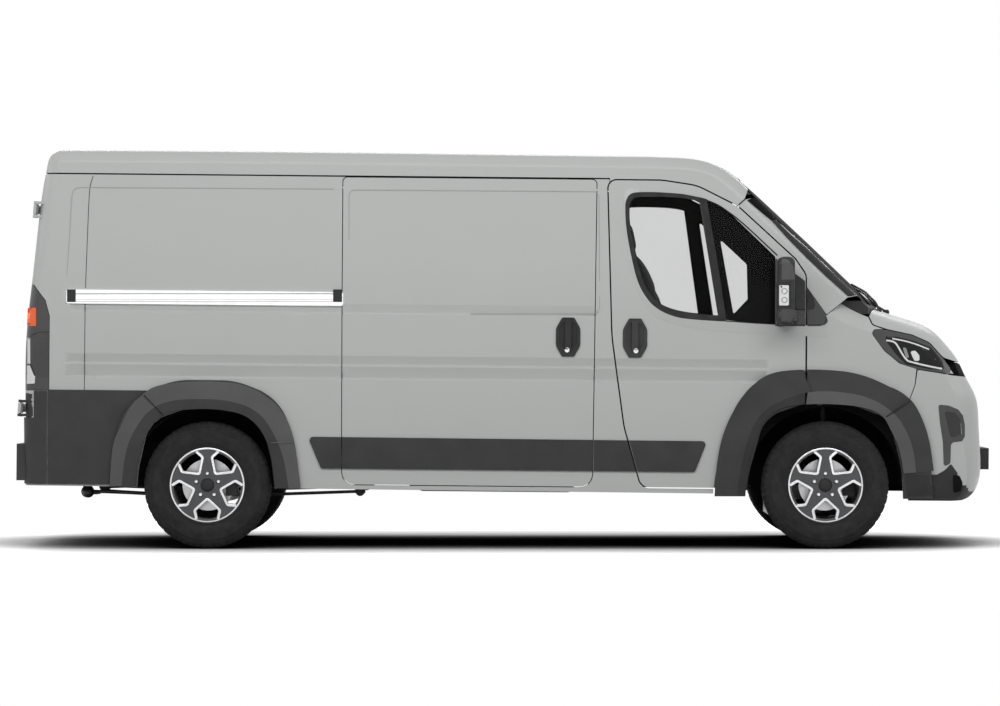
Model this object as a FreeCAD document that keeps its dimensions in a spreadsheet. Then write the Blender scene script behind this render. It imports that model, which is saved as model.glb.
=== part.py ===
"""Front-wheel-drive panel van, built as separate panels, doors, lamps, trim and running gear.

Frame: +X forward, +Y to the vehicle's left, +Z up, millimetres. The origin is on the ground under
the middle of the vehicle. Wheels, axles and suspension are drawn level. Everything that belongs to
the bodyshell is drawn level too and then tipped nose-down by the rake, as an empty van stands.
"""
import FreeCAD, Part
import math
import os
import Sketcher
from FreeCAD import Placement, Rotation, Vector

DRIVING_SIZES = [
    ("wheelbase", 3450, "front axle to rear axle"),
    ("front_overhang", 983, "front axle to the plate bracket's face"),
    ("rear_overhang", 1067, "rear axle to the step's rear edge"),
    ("rake", 0.55, "degrees, the empty body's nose-down tilt"),
    ("half_width", 1024, "bodyside at its widest, from the centre plane"),
    ("roof_height", 2232, "top of the roof above the ground, before the rake"),
    ("side_wall", 55, "whole thickness of a side, door or pillar"),
    ("roof_wall", 35, "whole thickness of the roof and windscreen frame"),
    ("rear_wall", 50, "whole thickness of a rear door"),
    ("nose_wall", 28, "whole thickness of bonnet, wing and bumper"),
    ("body_round", 80, "radius along the cantrails and rear corners"),
    ("nose_round", 110, "radius along the bonnet shoulders"),
    ("door_gap", 8, "gap round a door that opens"),
    ("seam_groove", 5, "width of the groove over a fixed seam"),
    ("sill_height", 330, "underside of the bodyside"),
    ("gutter_height", 2072, "roof seam above the side panels"),
    ("rear_opening_base", 572, "bottom of the rear doors"),
    ("floor_height", 540, "top of the load floor"),
    ("floor_depth", 45, "thickness of the floor"),
    ("cab_floor_height", 560, "top of the cab floor"),
    ("bulkhead_wall", 30, "thickness of the bulkhead"),
    ("glass", 5, "thickness of the glass"),
    ("glass_inset", 9, "side glass behind the door skin"),
    ("flare_stand", 27, "how far an arch flare stands out"),
    ("cladding", 10, "how far cladding and strips stand out"),
    ("tyre_radius", 356, "outside radius of a tyre"),
    ("tyre_width", 214, "section width of a tyre"),
    ("rim_radius", 210, "outside radius of a rim flange"),
    ("rim_seat", 196, "radius of the bead seat"),
    ("rim_wall", 8, "thickness of the rim barrel"),
    ("rim_width", 172, "rim over its flanges"),
    ("spoke_depth", 30, "thickness of the wheel's face"),
    ("hub_radius", 72, "radius of the wheel's centre"),
    ("disc_radius", 145, "radius of a brake disc"),
    ("disc_wall", 26, "thickness of a brake disc"),
    ("front_track", 1810, "between the front tyres' middles"),
    ("rear_track", 1790, "between the rear tyres' middles"),
    ("stub_radius", 30, "radius of a wheel's stub axle"),
    ("running_clearance", 0.05, "between a turning piece and its seat"),
    ("kingpin_inset", 103, "steering axis inboard of the tyre's middle"),
    ("beam_radius", 45, "radius of the rear axle tube"),
    ("spring_width", 70, "width of a leaf spring"),
    ("spring_leaf", 16, "thickness of a leaf spring"),
    ("spring_spacing", 1120, "between the leaf springs"),
    ("rail_height", 42, "height of the sliding door's rail"),
    ("handle_length", 218, "height of a door handle's plate"),
    ("handle_width", 136, "width of a door handle's plate"),
    ("rear_hinge_radius", 15, "radius of a rear hinge's barrel"),
    ("plate_width", 520, "number plate"),
    ("plate_height", 110, "number plate"),
    ("seat_width", 480, "width of a seat"),
    ("steering_wheel_radius", 195, "radius of the steering wheel's rim"),
    ("strut_radius", 28, "radius of a front strut"),
    ("exhaust_radius", 30, "radius of the exhaust pipe"),
]

doc = FreeCAD.newDocument("panel_van")
sheet = doc.addObject("Spreadsheet::Sheet", "Sizes")
for row, (alias, number, note) in enumerate(DRIVING_SIZES, start=1):
    sheet.set("A%d" % row, note)
    sheet.set("B%d" % row, str(number))
    sheet.setAlias("B%d" % row, alias)
doc.recompute()


class Term:
    """A size with the sheet expression that gives it, so that sums of sizes can be bound."""

    def __init__(self, value, text):
        self.value = value
        self.text = text

    def __add__(self, other):
        other = term(other)
        return Term(self.value + other.value, "(%s + %s)" % (self.text, other.text))

    def __sub__(self, other):
        other = term(other)
        return Term(self.value - other.value, "(%s - %s)" % (self.text, other.text))

    def __mul__(self, other):
        other = term(other)
        return Term(self.value * other.value, "(%s * %s)" % (self.text, other.text))

    def __truediv__(self, other):
        other = term(other)
        return Term(self.value / other.value, "(%s / %s)" % (self.text, other.text))

    def __radd__(self, other):
        return term(other) + self

    def __rsub__(self, other):
        return term(other) - self

    def __rmul__(self, other):
        return term(other) * self

    def __neg__(self):
        return Term(-self.value, "(-%s)" % self.text)

    def __float__(self):
        return float(self.value)


def term(number):
    return number if isinstance(number, Term) else Term(float(number), "%.6g" % number)


def size(alias):
    return float(sheet.get(alias))


def cell(alias):
    return Term(size(alias), "Sizes." + alias)


# Derived places
FRONT_AXLE = (cell("wheelbase") + cell("rear_overhang") - cell("front_overhang")) / 2
REAR_AXLE = FRONT_AXLE - cell("wheelbase")
REAR_END = REAR_AXLE - cell("rear_overhang")
FRONT_END = FRONT_AXLE + cell("front_overhang")
AXLE_HEIGHT = cell("tyre_radius")
RAKE = Placement(Vector(), Rotation(Vector(0, 1, 0), size("rake")))
WIDE = 1500.0
RIGHT, LEFT = -1, 1


def in_body(x, y, z):
    """A point given on the ground's frame, in the frame of the level body before it is tipped."""
    return RAKE.inverse().multVec(Vector(x, y, z))


def raked(shape):
    """A shape of the level body, tipped as the body stands."""
    return shape.transformed(RAKE.toMatrix())


def from_front(distance):
    """X of a place given from the front axle."""
    return float(FRONT_AXLE) + distance


def from_rear(distance):
    """X of a place given from the rear axle."""
    return float(REAR_AXLE) + distance


def from_end(distance):
    """X of a place given from the body's rear end."""
    return float(REAR_END) + distance


# Curves, outlines and plain solids
def spline(points):
    curve = Part.BSplineCurve()
    curve.interpolate([Vector(*point) for point in points])
    return curve


def rounded_wire(corners, place):
    """A closed wire of straight runs through corners (a, b, radius); place turns (a, b) into 3-D."""
    flat = [(Vector(c[0], c[1], 0), c[2] if len(c) > 2 else 0.0) for c in corners]
    starts, ends, arcs = [], [], []
    for index, (here, radius) in enumerate(flat):
        before = (flat[index - 1][0] - here).normalize()
        after = (flat[(index + 1) % len(flat)][0] - here).normalize()
        if not radius:
            starts.append(here)
            ends.append(here)
            arcs.append(None)
            continue
        half = before.getAngle(after) / 2
        reach = radius / math.tan(half)
        middle = here + (before + after).normalize() * (radius / math.sin(half) - radius)
        starts.append(here + before * reach)
        ends.append(here + after * reach)
        arcs.append(middle)
    edges = []
    for index, middle in enumerate(arcs):
        following = starts[(index + 1) % len(flat)]
        if middle is not None:
            edges.append(Part.Arc(lifted(starts[index], place), lifted(middle, place),
                                  lifted(ends[index], place)).toShape())
        if ends[index].distanceToPoint(following) > 0.01:
            edges.append(Part.makeLine(lifted(ends[index], place), lifted(following, place)))
    return Part.Wire(edges)


def lifted(point, place):
    return place(point.x, point.y)


def side_plane(y=0.0):
    return lambda a, b: Vector(a, y, b)


def cross_plane(x=0.0):
    return lambda a, b: Vector(x, a, b)


def floor_plane(z=0.0):
    return lambda a, b: Vector(a, b, z)


def grown(wire, distance):
    """The closed flat wire, offset outwards, or inwards where distance is negative."""
    return wire.makeOffset2D(distance) if distance else wire


def prism(wire, direction):
    return upright(Part.Face(wire).extrude(direction))


def upright(solid):
    if solid.Volume < 0:
        solid.reverse()
    return solid


def across(corners, grow=0.0, low=-WIDE, high=WIDE):
    """A prism over an outline in side view, from y = low to y = high."""
    wire = grown(rounded_wire(corners, side_plane(low)), grow)
    return prism(wire, Vector(0, high - low, 0))


def on_side(side, corners, grow=0.0, inner=300.0):
    """The same on one side of the vehicle only."""
    low, high = (-WIDE, -inner) if side == RIGHT else (inner, WIDE)
    return across(corners, grow, low, high)


def box(low, high):
    return Part.makeBox(high[0] - low[0], high[1] - low[1], high[2] - low[2], Vector(*low))


def rod(start, end, radius):
    start, end = Vector(*start), Vector(*end)
    return Part.makeCylinder(radius, start.distanceToPoint(end), start, end - start)


def mirrored(shape):
    return shape.mirror(Vector(), Vector(0, 1, 0))


def sided(side, right_shape):
    """A shape drawn for the right side, on the side asked for."""
    return right_shape if side == RIGHT else mirrored(right_shape)


def both_sides(right_shape):
    return Part.makeCompound([right_shape, mirrored(right_shape)])


def woven(along, cross, weights):
    """A face whose lines along follow one curve while the cross curve, scaled, is laid over them."""
    rows = []
    for pole in along.getPoles():
        shift, drop = weights(pole)
        rows.append([Vector(pole.x + shift * q.x, pole.y + q.y, pole.z + drop * q.z)
                     for q in cross.getPoles()])
    face = Part.BSplineSurface()
    face.buildFromPolesMultsKnots(
        rows, along.getMultiplicities(), cross.getMultiplicities(), along.getKnots(),
        cross.getKnots(), False, False, along.Degree, cross.Degree)
    return face.toShape()


def loft_ring(curves):
    """A closed solid between curves that run side by side, such as the edges of an arch flare."""
    count = len(curves)
    faces = [Part.makeRuledSurface(curves[i], curves[(i + 1) % count]) for i in range(count)]
    for end in (0, 1):
        corners = [edge.Vertexes[0 if end == 0 else -1].Point for edge in curves]
        faces.append(Part.Face(Part.makePolygon(corners + corners[:1])))
    return upright(Part.Solid(Part.makeShell(faces)))


# Master solids: the outer form, and the same form inset by the panels' thickness
SIDE_LEAN = [(250, 40), (430, 23), (620, 7), (800, 0), (937, 0), (1100, 5), (1305, 15),
             (1600, 40), (1850, 72), (2000, 90), (2200, 116), (2330, 131)]
TAPER_START = -1270.0
TAPER_RATE = 1.5e-5


def cab_taper(x):
    return TAPER_RATE * max(0.0, x - from_front(TAPER_START)) ** 2


def between_sides(inset, low=0.0):
    """Everything between the two bodysides."""
    section = spline([(0, size("half_width") - lean - inset, z - low) for z, lean in SIDE_LEAN])
    stations = [from_end(-150), from_rear(0), from_front(-1800), from_front(TAPER_START)]
    stations += [from_front(TAPER_START + step) for step in range(300, 2701, 300)]
    path = spline([(x, -cab_taper(x), 0) for x in stations])
    face = woven(section, path, lambda pole: (1.0, 1.0))
    left = upright(face.extrude(Vector(0, -2 * WIDE, 0)))
    return left.common(mirrored(left))


def crown(back, drop):
    """The curve across the vehicle: how far it falls back and down towards the sides."""
    return spline([(-back * m ** 2, 1000 * m, -drop * m ** 2)
                   for m in (-1.2, -0.9, -0.6, -0.3, 0, 0.3, 0.6, 0.9, 1.2)])


SHOULDER_START = 0.72
SHOULDER_REACH = 0.26


def shoulder(m, inset):
    """How far the bonnet's rounded shoulder has fallen, 0 to 1, at m metres from the middle."""
    u = (abs(m) - SHOULDER_START + inset / 1000.0) / SHOULDER_REACH
    if u <= 0:
        return 0.0
    if u <= 0.95:
        return 1 - math.sqrt(1 - u * u)
    slope = 0.95 / math.sqrt(1 - 0.95 ** 2)
    return 1 - math.sqrt(1 - 0.95 ** 2) + slope * (u - 0.95)


def nose_crown(back, drop, round_back, round_drop, inset):
    """The same for the nose, with a rounded shoulder towards each side."""
    points = []
    for step in range(-20, 21):
        m = 0.058 * step
        fall = shoulder(m, inset)
        points.append((-back * m ** 2 - round_back * fall, 1000 * m,
                       -drop * m ** 2 - round_drop * fall))
    return spline(points)


def under_roof(inset):
    """Everything under the roof and the windscreen's surface."""
    roof = size("roof_height") - inset
    windscreen_top = from_front(-455)
    profile = [(from_end(-150), roof - 6), (from_rear(-300), roof), (from_front(-2700), roof),
               (from_front(-1167), roof - 5), (from_front(-858), roof - 10),
               (from_front(-685), roof - 29), (from_front(-545), roof - 80),
               (from_front(-405), roof - 180), (from_front(-267), roof - 302),
               (from_front(-55), roof - 496), (from_front(120), roof - 660),
               (from_front(333), roof - 860), (from_front(733), roof - 1232),
               (from_front(1233), roof - 1692)]

    def weights(pole):
        slope = min(1.0, max(0.0, (pole.x - windscreen_top + 410) / 600.0))
        return slope, 1.0 - 0.7 * slope

    face = woven(spline([(x, 0, z) for x, z in profile]), crown(110, 35), weights)
    return upright(face.extrude(Vector(0, 0, -2800)))


REAR_LEAN = [(200, 44), (900, 44), (1160, 47), (1497, 78), (1775, 104), (2000, 130), (2250, 175),
             (2350, 190)]
REAR_BULGE = 30.0


def ahead_of_rear(inset):
    """Everything ahead of the rear doors' surface."""
    profile = spline([(from_end(lean - REAR_BULGE + inset), 0, z) for z, lean in REAR_LEAN])
    face = woven(profile, crown(-REAR_BULGE, 0), lambda pole: (1.0, 1.0))
    return upright(face.extrude(Vector(6500, 0, 0)))


def in_range(box_, **limits):
    return all(low <= getattr(box_, name) <= high for name, (low, high) in limits.items())


def rounded_cabin(side_inset, roof_inset, rear_inset):
    """The load space and cab, down to below the sills, with rounded cantrails and corners."""
    form = between_sides(side_inset).common(under_roof(roof_inset))
    form = form.common(ahead_of_rear(rear_inset)).Solids[0]
    big, middle = 1e4, from_rear(0)
    edges = []
    for edge in form.Edges:
        limits = edge.BoundBox
        cantrail = in_range(limits, ZMax=(2000, big), XMax=(middle, big), XMin=(-big, middle))
        header = in_range(limits, ZMin=(1900, big), XMax=(-big, middle))
        corner = in_range(limits, ZMin=(0, 500), ZMax=(2000, big), XMax=(-big, middle))
        if cantrail or header or corner:
            edges.append(edge)
    radius = size("body_round") - min(side_inset, roof_inset)
    return form.makeFillet(max(radius, 20.0), edges)


def behind_nose(inset):
    """Everything behind and under the bonnet's and front's surface."""
    profile = [(60, 1500), (180, 1425), (260, 1386), (365, 1350), (452, 1323), (539, 1297),
               (602, 1270), (656, 1232), (700, 1186), (752, 1125), (800, 1050), (840, 968),
               (878, 900), (896, 849), (908, 731), (916, 600), (921, 500), (912, 400), (880, 330),
               (820, 290)]
    curve = spline([(from_front(x) - inset, 0, z - inset * max(0.0, (z - 900) / 600.0))
                    for x, z in profile])

    def weights(pole):
        upper = min(1.0, max(0.0, (pole.z - 950) / 350.0))
        return 1.0 - 0.35 * upper, upper

    face = woven(curve, nose_crown(70, 30, 150, 110, inset), weights)
    return upright(face.extrude(Vector(-1900, 0, 0)))


def nose_form(inset):
    """The engine bay, wings and front."""
    form = between_sides(inset).common(behind_nose(inset))
    return form.common(box((from_front(-420), -WIDE, 0), (from_front(1500), WIDE, 1480)))


def shifted(shape, x=0.0, y=0.0, z=0.0):
    moved = shape.copy()
    moved.translate(Vector(x, y, z))
    return moved



def closed(form):
    return form.Solids[0] if len(form.Solids) == 1 else Part.makeCompound(form.Solids)


# Outlines in side view: distance from an axle, height, corner radius
def at_front(corners):
    return [(from_front(corner[0]),) + tuple(corner[1:]) for corner in corners]


def at_rear(corners):
    return [(from_rear(corner[0]),) + tuple(corner[1:]) for corner in corners]


GUTTER = size("gutter_height")
SILL = size("sill_height")
DOOR_BASE = SILL + 22
BELT_SEAM = -122
SEAM = size("seam_groove")
GAP = size("door_gap")
FRONT_DOOR = at_front([
    (-1230, GUTTER - 8, 45), (-1200, 1190, 900), (-1128, 690, 450), (-1030, DOOR_BASE, 60),
    (BELT_SEAM, DOOR_BASE), (BELT_SEAM - 3, 1545, 70), (-185, 1632, 60), (-505, 1922, 160),
    (-735, GUTTER - 36, 260), (-930, GUTTER - 8, 300)])
DOOR_WINDOW = at_front([
    (-1148, 1994, 60), (-1112, 1740, 900), (-1030, 1385, 260), (-800, 1316, 400),
    (-294, 1256, 15), (-294, 1644, 15), (-590, 1925, 220), (-800, 1992, 250)])
WINDOW_POST = at_front([(-722, 1955), (-687, 1955), (-564, 1285), (-609, 1285)])
MIRROR_SAIL = at_front([
    (-296, 1643, 12), (-130, 1462), (-12, 1322, 20), (4, 1280, 20), (-45, 1259, 20), (-296, 1257, 8)])
SLIDING_DOOR = at_rear([
    (738, GUTTER - 6, 25), (750, DOOR_BASE, 70), (2143, DOOR_BASE, 70), (2154, GUTTER - 6, 25)])
FRONT_ARCH = at_front([
    (-456, 200), (-436, 430, 500), (-350, 752, 190), (-110, 832, 300), (110, 832, 300),
    (352, 745, 150), (424, 470, 500), (440, 200)])
FRONT_FLARE = at_front([
    (-627, 200), (-627, 400, 600), (-528, 790, 420), (-380, 985, 300), (-120, 1014, 400),
    (170, 990, 500), (470, 880, 260), (572, 640, 500), (605, 200)])
REAR_ARCH = at_rear([
    (-402, 200), (-390, 420, 300), (-330, 690, 180), (-120, 768, 300), (110, 768, 300),
    (300, 700, 180), (358, 480, 300), (390, 200)])
REAR_FLARE = at_rear([
    (-548, 200), (-540, 480, 400), (-470, 800, 330), (-190, 926, 420), (150, 926, 420),
    (400, 830, 300), (480, 600, 400), (530, 200)])
RUB_STRIP = at_rear([(557, 616, 20), (632, 439, 20), (2716, 439, 20), (2782, 612, 20)])
REAR_CLADDING = at_rear([(-893, SILL + 8), (-893, 865), (-340, 865), (-340, SILL + 8)])
TAIL_LAMP = at_rear([
    (-1100, 1448), (-983, 1448, 8), (-915, 1362, 30), (-890, 1275, 60), (-888, 862, 6), (-1100, 862)])
HEADLAMP = at_front([
    (233, 1243, 20), (330, 1243, 60), (474, 1214, 80), (570, 1172, 60), (650, 1086, 60),
    (712, 996, 20), (503, 1027, 60), (403, 1058, 40), (318, 1127, 80)])
BONNET = at_front([
    (210, 1700), (222, 1354, 10), (256, 1272, 30), (332, 1248, 60), (476, 1218, 80),
    (574, 1176, 60), (652, 1091, 60), (740, 1066), (1200, 1050), (1200, 1700)])
WING = at_front([
    (BELT_SEAM + GAP, 300), (BELT_SEAM + GAP, 1321), (-5, 1321), (108, 1416), (216, 1349, 10),
    (249, 1268, 30), (329, 1240, 60), (472, 1211, 80), (567, 1169, 60), (646, 1084, 60),
    (710, 1000), (498, 1027), (488, 936, 60), (458, 852), (458, 300)])
BUMPER = at_front([
    (463, 250), (463, 852), (493, 936, 60), (505, 1021), (712, 990), (1200, 950), (1200, 250)])
SLIDE_RAIL = at_rear([(-796, 1346, 12), (746, 1346, 12), (746, 1423, 12), (-796, 1423, 12)])
A_PILLAR = at_front([
    (-527, 1905), (-505, 1924), (-461, 1964), (-347, 1990), (260, 1450), (110, 1421), (-3, 1328),
    (-167, 1328), (-167, 1500)])
ROOF_OVER_DOOR = at_front([
    (-1221, GUTTER + 200), (-1221, 2000), (-527, 1893), (-511, 1929), (-467, 1969), (-367, 2250)])

# Outlines across the vehicle: half width, height, corner radius
WINDSCREEN = [(-880, 1398, 45), (880, 1398, 45), (785, 2092, 110), (-785, 2092, 110)]
REAR_DOOR_BASE = size("rear_opening_base")
REAR_DOOR_TOP = GUTTER - 6


def rear_door_outline(side):
    """The rear door's edges: upright in the middle, leaning in with the body outside."""
    return [(side * 4, REAR_DOOR_BASE, 0), (side * 932, REAR_DOOR_BASE, 60),
            (side * 925, 1150, 1500), (side * 838, REAR_DOOR_TOP, 70), (side * 4, REAR_DOOR_TOP, 0)]


REAR_OPENING = [(-940, REAR_DOOR_BASE - 6, 66), (940, REAR_DOOR_BASE - 6, 66),
                (933, 1150, 1500), (845, GUTTER + 5, 20), (-845, GUTTER + 5, 20),
                (-933, 1150, 1500)]
GRILLE = [(-560, 1100), (-560, 985, 60), (-420, 770, 50), (420, 770, 50), (560, 985, 60),
          (560, 1100)]
INTAKE = [(-440, 425, 30), (440, 425, 30), (480, 590, 30), (-480, 590, 30)]


def through(corners, low, high, grow=0.0):
    """A prism over an outline across the vehicle, from x = low to x = high."""
    wire = grown(rounded_wire(corners, cross_plane(low)), grow)
    return prism(wire, Vector(high - low, 0, 0))


def half_space(side, inner=0.0):
    if side == RIGHT:
        return box((-4000, -WIDE, -100), (4000, -inner, 3000))
    return box((-4000, inner, -100), (4000, WIDE, 3000))


# The bodyshell
import time
_t = [time.time()]


def lap(name):
    now = time.time()
    print("%-22s %5.1f s" % (name, now - _t[0]), flush=True)
    _t[0] = now


cabin = rounded_cabin(0, 0, 0)
lap("cabin")
cabin_inside = rounded_cabin(size("side_wall"), size("roof_wall"), size("rear_wall"))
lap("inside")
cabin_skin = cabin.cut(cabin_inside)
lap("skin")
cabin_clad = rounded_cabin(-size("cladding"), -size("cladding"), -size("cladding"))
lap("clad")
nose = nose_form(0)
lap("nose")
nose_inside = nose_form(size("nose_wall"))
nose_backing = nose_inside.cut(nose_form(size("nose_wall") + 14))
lap("nose inside")
nose_skin = nose.cut(nose_inside)
lap("nose skin")
print(nose.isValid(), nose.Volume, nose_inside.Volume, nose_skin.Volume, nose_skin.isValid())
sides_outset = {}


def sides(inset):
    if inset not in sides_outset:
        sides_outset[inset] = between_sides(inset)
    return sides_outset[inset]


windscreen_hole = through(WINDSCREEN, from_front(-900), from_front(700))
rear_hole = through(REAR_OPENING, from_end(-200), from_end(330))


windscreen = under_roof(7).cut(under_roof(14)).common(
    through(WINDSCREEN, from_front(-900), from_front(700), 14)).common(sides(60))


def side_panel(side):
    """Rear quarter, sill and pillars of one side."""
    rear = on_side(side, [
        (from_end(-200), SILL), (from_front(-630), SILL - 10), (from_front(-630), DOOR_BASE + 6),
        (from_front(-1000), DOOR_BASE + 6), (from_front(-1180), 1400),
        (from_front(-1224), 1900), (from_front(-1224), GUTTER - 3),
        (from_end(-200), GUTTER - 3)])
    panel = cabin_skin.common(rear.fuse(on_side(side, A_PILLAR)))
    cutters = [on_side(side, FRONT_DOOR, GAP), windscreen_hole, rear_hole, windscreen,
               on_side(side, REAR_ARCH), on_side(side, TAIL_LAMP, 3, 850)]
    if side == RIGHT:
        cutters.append(on_side(side, SLIDING_DOOR, SEAM))
    forks = [sided(side, fork.cut(cabin_inside)) for fork in rear_hinge_forks()]
    return panel.cut(cutters).fuse(forks)


def roof_panel():
    upper = box((from_end(-200), -WIDE, GUTTER + 5), (from_front(-400), WIDE, 2600))
    panel = cabin_skin.common(upper.fuse(across(ROOF_OVER_DOOR)))
    cutters = [on_side(RIGHT, FRONT_DOOR, GAP), on_side(LEFT, FRONT_DOOR, GAP), windscreen_hole,
               rear_hole, windscreen]
    return panel.cut(cutters)


def glazing(outline_prism, outer_form, inner_form):
    return outer_form.cut(inner_form).common(outline_prism)


def front_door(side):
    skin = cabin_skin.common(on_side(side, FRONT_DOOR))
    return skin.cut([on_side(side, DOOR_WINDOW), on_side(side, FRONT_ARCH), door_glass(side)])


def door_glass(side):
    inset = size("glass_inset")
    return glazing(on_side(side, DOOR_WINDOW, 14), sides(inset), sides(inset + size("glass")))


def sliding_door():
    return cabin_skin.common(on_side(RIGHT, SLIDING_DOOR))


HINGE_HEIGHTS = (760, 1870)
HINGE_FOOT = Vector(from_end(19), -985, 760)
HINGE_TOP = Vector(from_end(87), -911, 1870)


def hinge_point(z):
    """A point of the right rear door's leaning hinge axis."""
    share = (z - HINGE_FOOT.z) / (HINGE_TOP.z - HINGE_FOOT.z)
    return HINGE_FOOT + (HINGE_TOP - HINGE_FOOT) * share


def rear_hinge_straps():
    """The right door's half of its hinges: barrel and strap, bored for the pin."""
    straps = []
    for z in HINGE_HEIGHTS:
        here = hinge_point(z)
        barrel = rod(hinge_point(z - 28), hinge_point(z + 28), size("rear_hinge_radius"))
        strap = box((here.x - 7, here.y, z - 24), (here.x + 7, here.y + 100, z + 24))
        pad = box((here.x - 7, here.y + 70, z - 24), (here.x + 40, here.y + 100, z + 24))
        bore = rod(hinge_point(z - 60), hinge_point(z + 60), 5 + size("running_clearance"))
        straps.append(barrel.fuse([strap, pad]).cut(bore))
    return straps


def rear_hinge_forks():
    """The right body half: a pair of ears and the pin at each hinge."""
    forks = []
    for z in HINGE_HEIGHTS:
        here = hinge_point(z)
        ears = []
        for low, high in ((z - 46, z - 31), (z + 31, z + 46)):
            ears.append(rod(hinge_point(low), hinge_point(high), size("rear_hinge_radius")))
            ears.append(box((here.x, here.y - 10, low), (here.x + 62, here.y + 8, high)))
        forks += [ears[0].fuse(ears[1:] + [rod(hinge_point(z - 40), hinge_point(z + 40), 5)])]
    return forks


def rear_door(side):
    """One rear door with its hinge straps; the straps bear on its outer face."""
    door = cabin_skin.common(through(rear_door_outline(side), from_end(-200), from_end(320)))
    straps = [sided(side, strap.cut(cabin_inside)) for strap in rear_hinge_straps()]
    return door.fuse(straps)


def bonnet_rear_edge(shift=0.0):
    """Everything ahead of the bonnet's curved rear edge."""
    x = [from_front(step) + shift for step in (222, 345, 1300)]
    curve = Part.Arc(Vector(x[0], -960, 1000), Vector(x[1], 0, 1000), Vector(x[0], 960, 1000))
    sides_ = Part.makePolygon([Vector(x[0], 960, 1000), Vector(x[0], 1100, 1000),
                               Vector(x[2], 1100, 1000), Vector(x[2], -1100, 1000),
                               Vector(x[0], -1100, 1000), Vector(x[0], -960, 1000)])
    return prism(Part.Wire([curve.toShape()] + sides_.Edges), Vector(0, 0, 700))


BONNET_HINGE = (from_front(208), 1362)
HINGE_Y = 700


def bonnet_panel():
    """The bonnet with its two hinge arms, which turn on the scuttle's pins."""
    panel = nose_skin.common(across(BONNET)).common(bonnet_rear_edge())
    x, z = BONNET_HINGE
    outline = [(x - 13, z - 13, 12), (x + 66, z - 56, 20), (x + 135, z - 64), (x + 135, z - 37),
               (x + 70, z - 24, 20), (x - 13, z + 13, 12)]
    bore = rod((x, -WIDE, z), (x, WIDE, z), 5 + size("running_clearance"))
    arms = [across(outline, 0, y - 14, y + 14).cut(bore) for y in (-HINGE_Y, HINGE_Y)]
    return panel.fuse(arms)


def wing_panels():
    right = nose_skin.common(on_side(RIGHT, WING, 0, 908))
    right = right.cut([on_side(RIGHT, FRONT_ARCH), on_side(RIGHT, HEADLAMP, 3)])
    return both_sides(closed(right))


def front_bumper():
    shell = nose_skin.common(across(BUMPER))
    ends = (from_front(400), from_front(1200))
    lamps = [on_side(side, HEADLAMP, 3) for side in (RIGHT, LEFT)]
    return shell.cut([through(GRILLE, *ends, grow=4), through(INTAKE, *ends, grow=3),
                      across(FRONT_ARCH)] + lamps)


def grille():
    ends = (from_front(400), from_front(1200))
    lamps = [on_side(side, HEADLAMP, 3) for side in (RIGHT, LEFT)]
    plate = nose_skin.common(through(GRILLE, *ends))
    frame = nose_backing.common(through(GRILLE, *ends, grow=16))
    plate = plate.fuse(frame).cut([across(BONNET, 8)] + lamps)
    slots = []
    for row in range(5):
        z = 812 + 46 * row
        half = 400 + 22 * row
        slots.append(box((from_front(400), -half, z), (from_front(1200), half, z + 26)))
    return plate.cut(slots)


def bumper_trim():
    """The lower intake with the front plate's bracket."""
    ends = (from_front(400), from_front(1200))
    plate = nose_skin.common(through(INTAKE, *ends))
    plate = plate.fuse(nose_backing.common(through(INTAKE, *ends, grow=14)))
    slots = [box((from_front(400), -420, 450 + 46 * row), (from_front(1200), 420, 474 + 46 * row))
             for row in range(3)]
    plate = plate.cut(slots)
    half = size("plate_width") / 2 + 6
    drop = 574 * math.sin(math.radians(size("rake")))
    bracket = box((from_front(890), -half, 452), (float(FRONT_END) - drop, half, 452 + 122))
    return plate.fuse(bracket.cut(nose))


def headlamps():
    right = nose_skin.common(on_side(RIGHT, HEADLAMP, 0, 430))
    housing = nose_backing.common(on_side(RIGHT, HEADLAMP, 9, 430)).cut(across(BONNET, 8))
    ends = (from_front(400), from_front(1200))
    return both_sides(closed(right.fuse(housing).cut(through(GRILLE, *ends, grow=20))))


def tail_lamps():
    right = cabin.common(on_side(RIGHT, TAIL_LAMP, 0, 850)).cut(cabin_inside).cut(rear_hole)
    return both_sides(closed(right))


def cowl():
    """The black scuttle between the windscreen's base and the bonnet."""
    block = box((from_front(20), -905, 1330), (from_front(420), 905, 1404))
    block = block.common(under_roof(8)).cut(bonnet_rear_edge(-6)).cut(windscreen)
    x, z = BONNET_HINGE
    pins = []
    for y in (-HINGE_Y, HINGE_Y):
        block = block.cut(box((x - 25, y - 20, 1300), (x + 110, y + 20, 1410)))
        pins.append(rod((x, y - 24, z), (x, y + 24, z), 5))
    feet = [box((x - 25, y + a, z - 22), (x + 20, y + a + 14, z + 15))
            for y in (-HINGE_Y, HINGE_Y) for a in (-34, 20)]
    return block.fuse(pins + feet)


def flare(side, outline, arch, floor_z):
    """An arch flare, standing out from the bodyside round a wheel opening."""
    ring = on_side(side, outline, 0, 850).cut(on_side(side, arch, 0, 800))
    ring = ring.common(box((-4000, -WIDE, floor_z), (4000, WIDE, 1200)))
    return ring.common(sides(-size("flare_stand")))


def ahead_of(x):
    return box((x, -WIDE, -100), (4000, WIDE, 3000))


def behind(x):
    return box((-4000, -WIDE, -100), (x, WIDE, 3000))


def arch_flares():
    """The fixed flares: both rear arches, and the front arches ahead of the doors."""
    rear = flare(RIGHT, REAR_FLARE, REAR_ARCH, SILL).cut(cabin)
    front = flare(RIGHT, FRONT_FLARE, FRONT_ARCH, 300).cut(nose)
    front = front.common(ahead_of(from_front(BELT_SEAM + GAP)))
    return Part.makeCompound([s for part in (rear, front) for s in both_sides(part).Solids])


def strip(side, outline, keep=None):
    """Plastic cladding on the outside of the body over an outline."""
    plate = cabin_clad.common(on_side(side, outline, 0, 880)).cut(cabin)
    return plate.common(keep) if keep else plate


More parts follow.
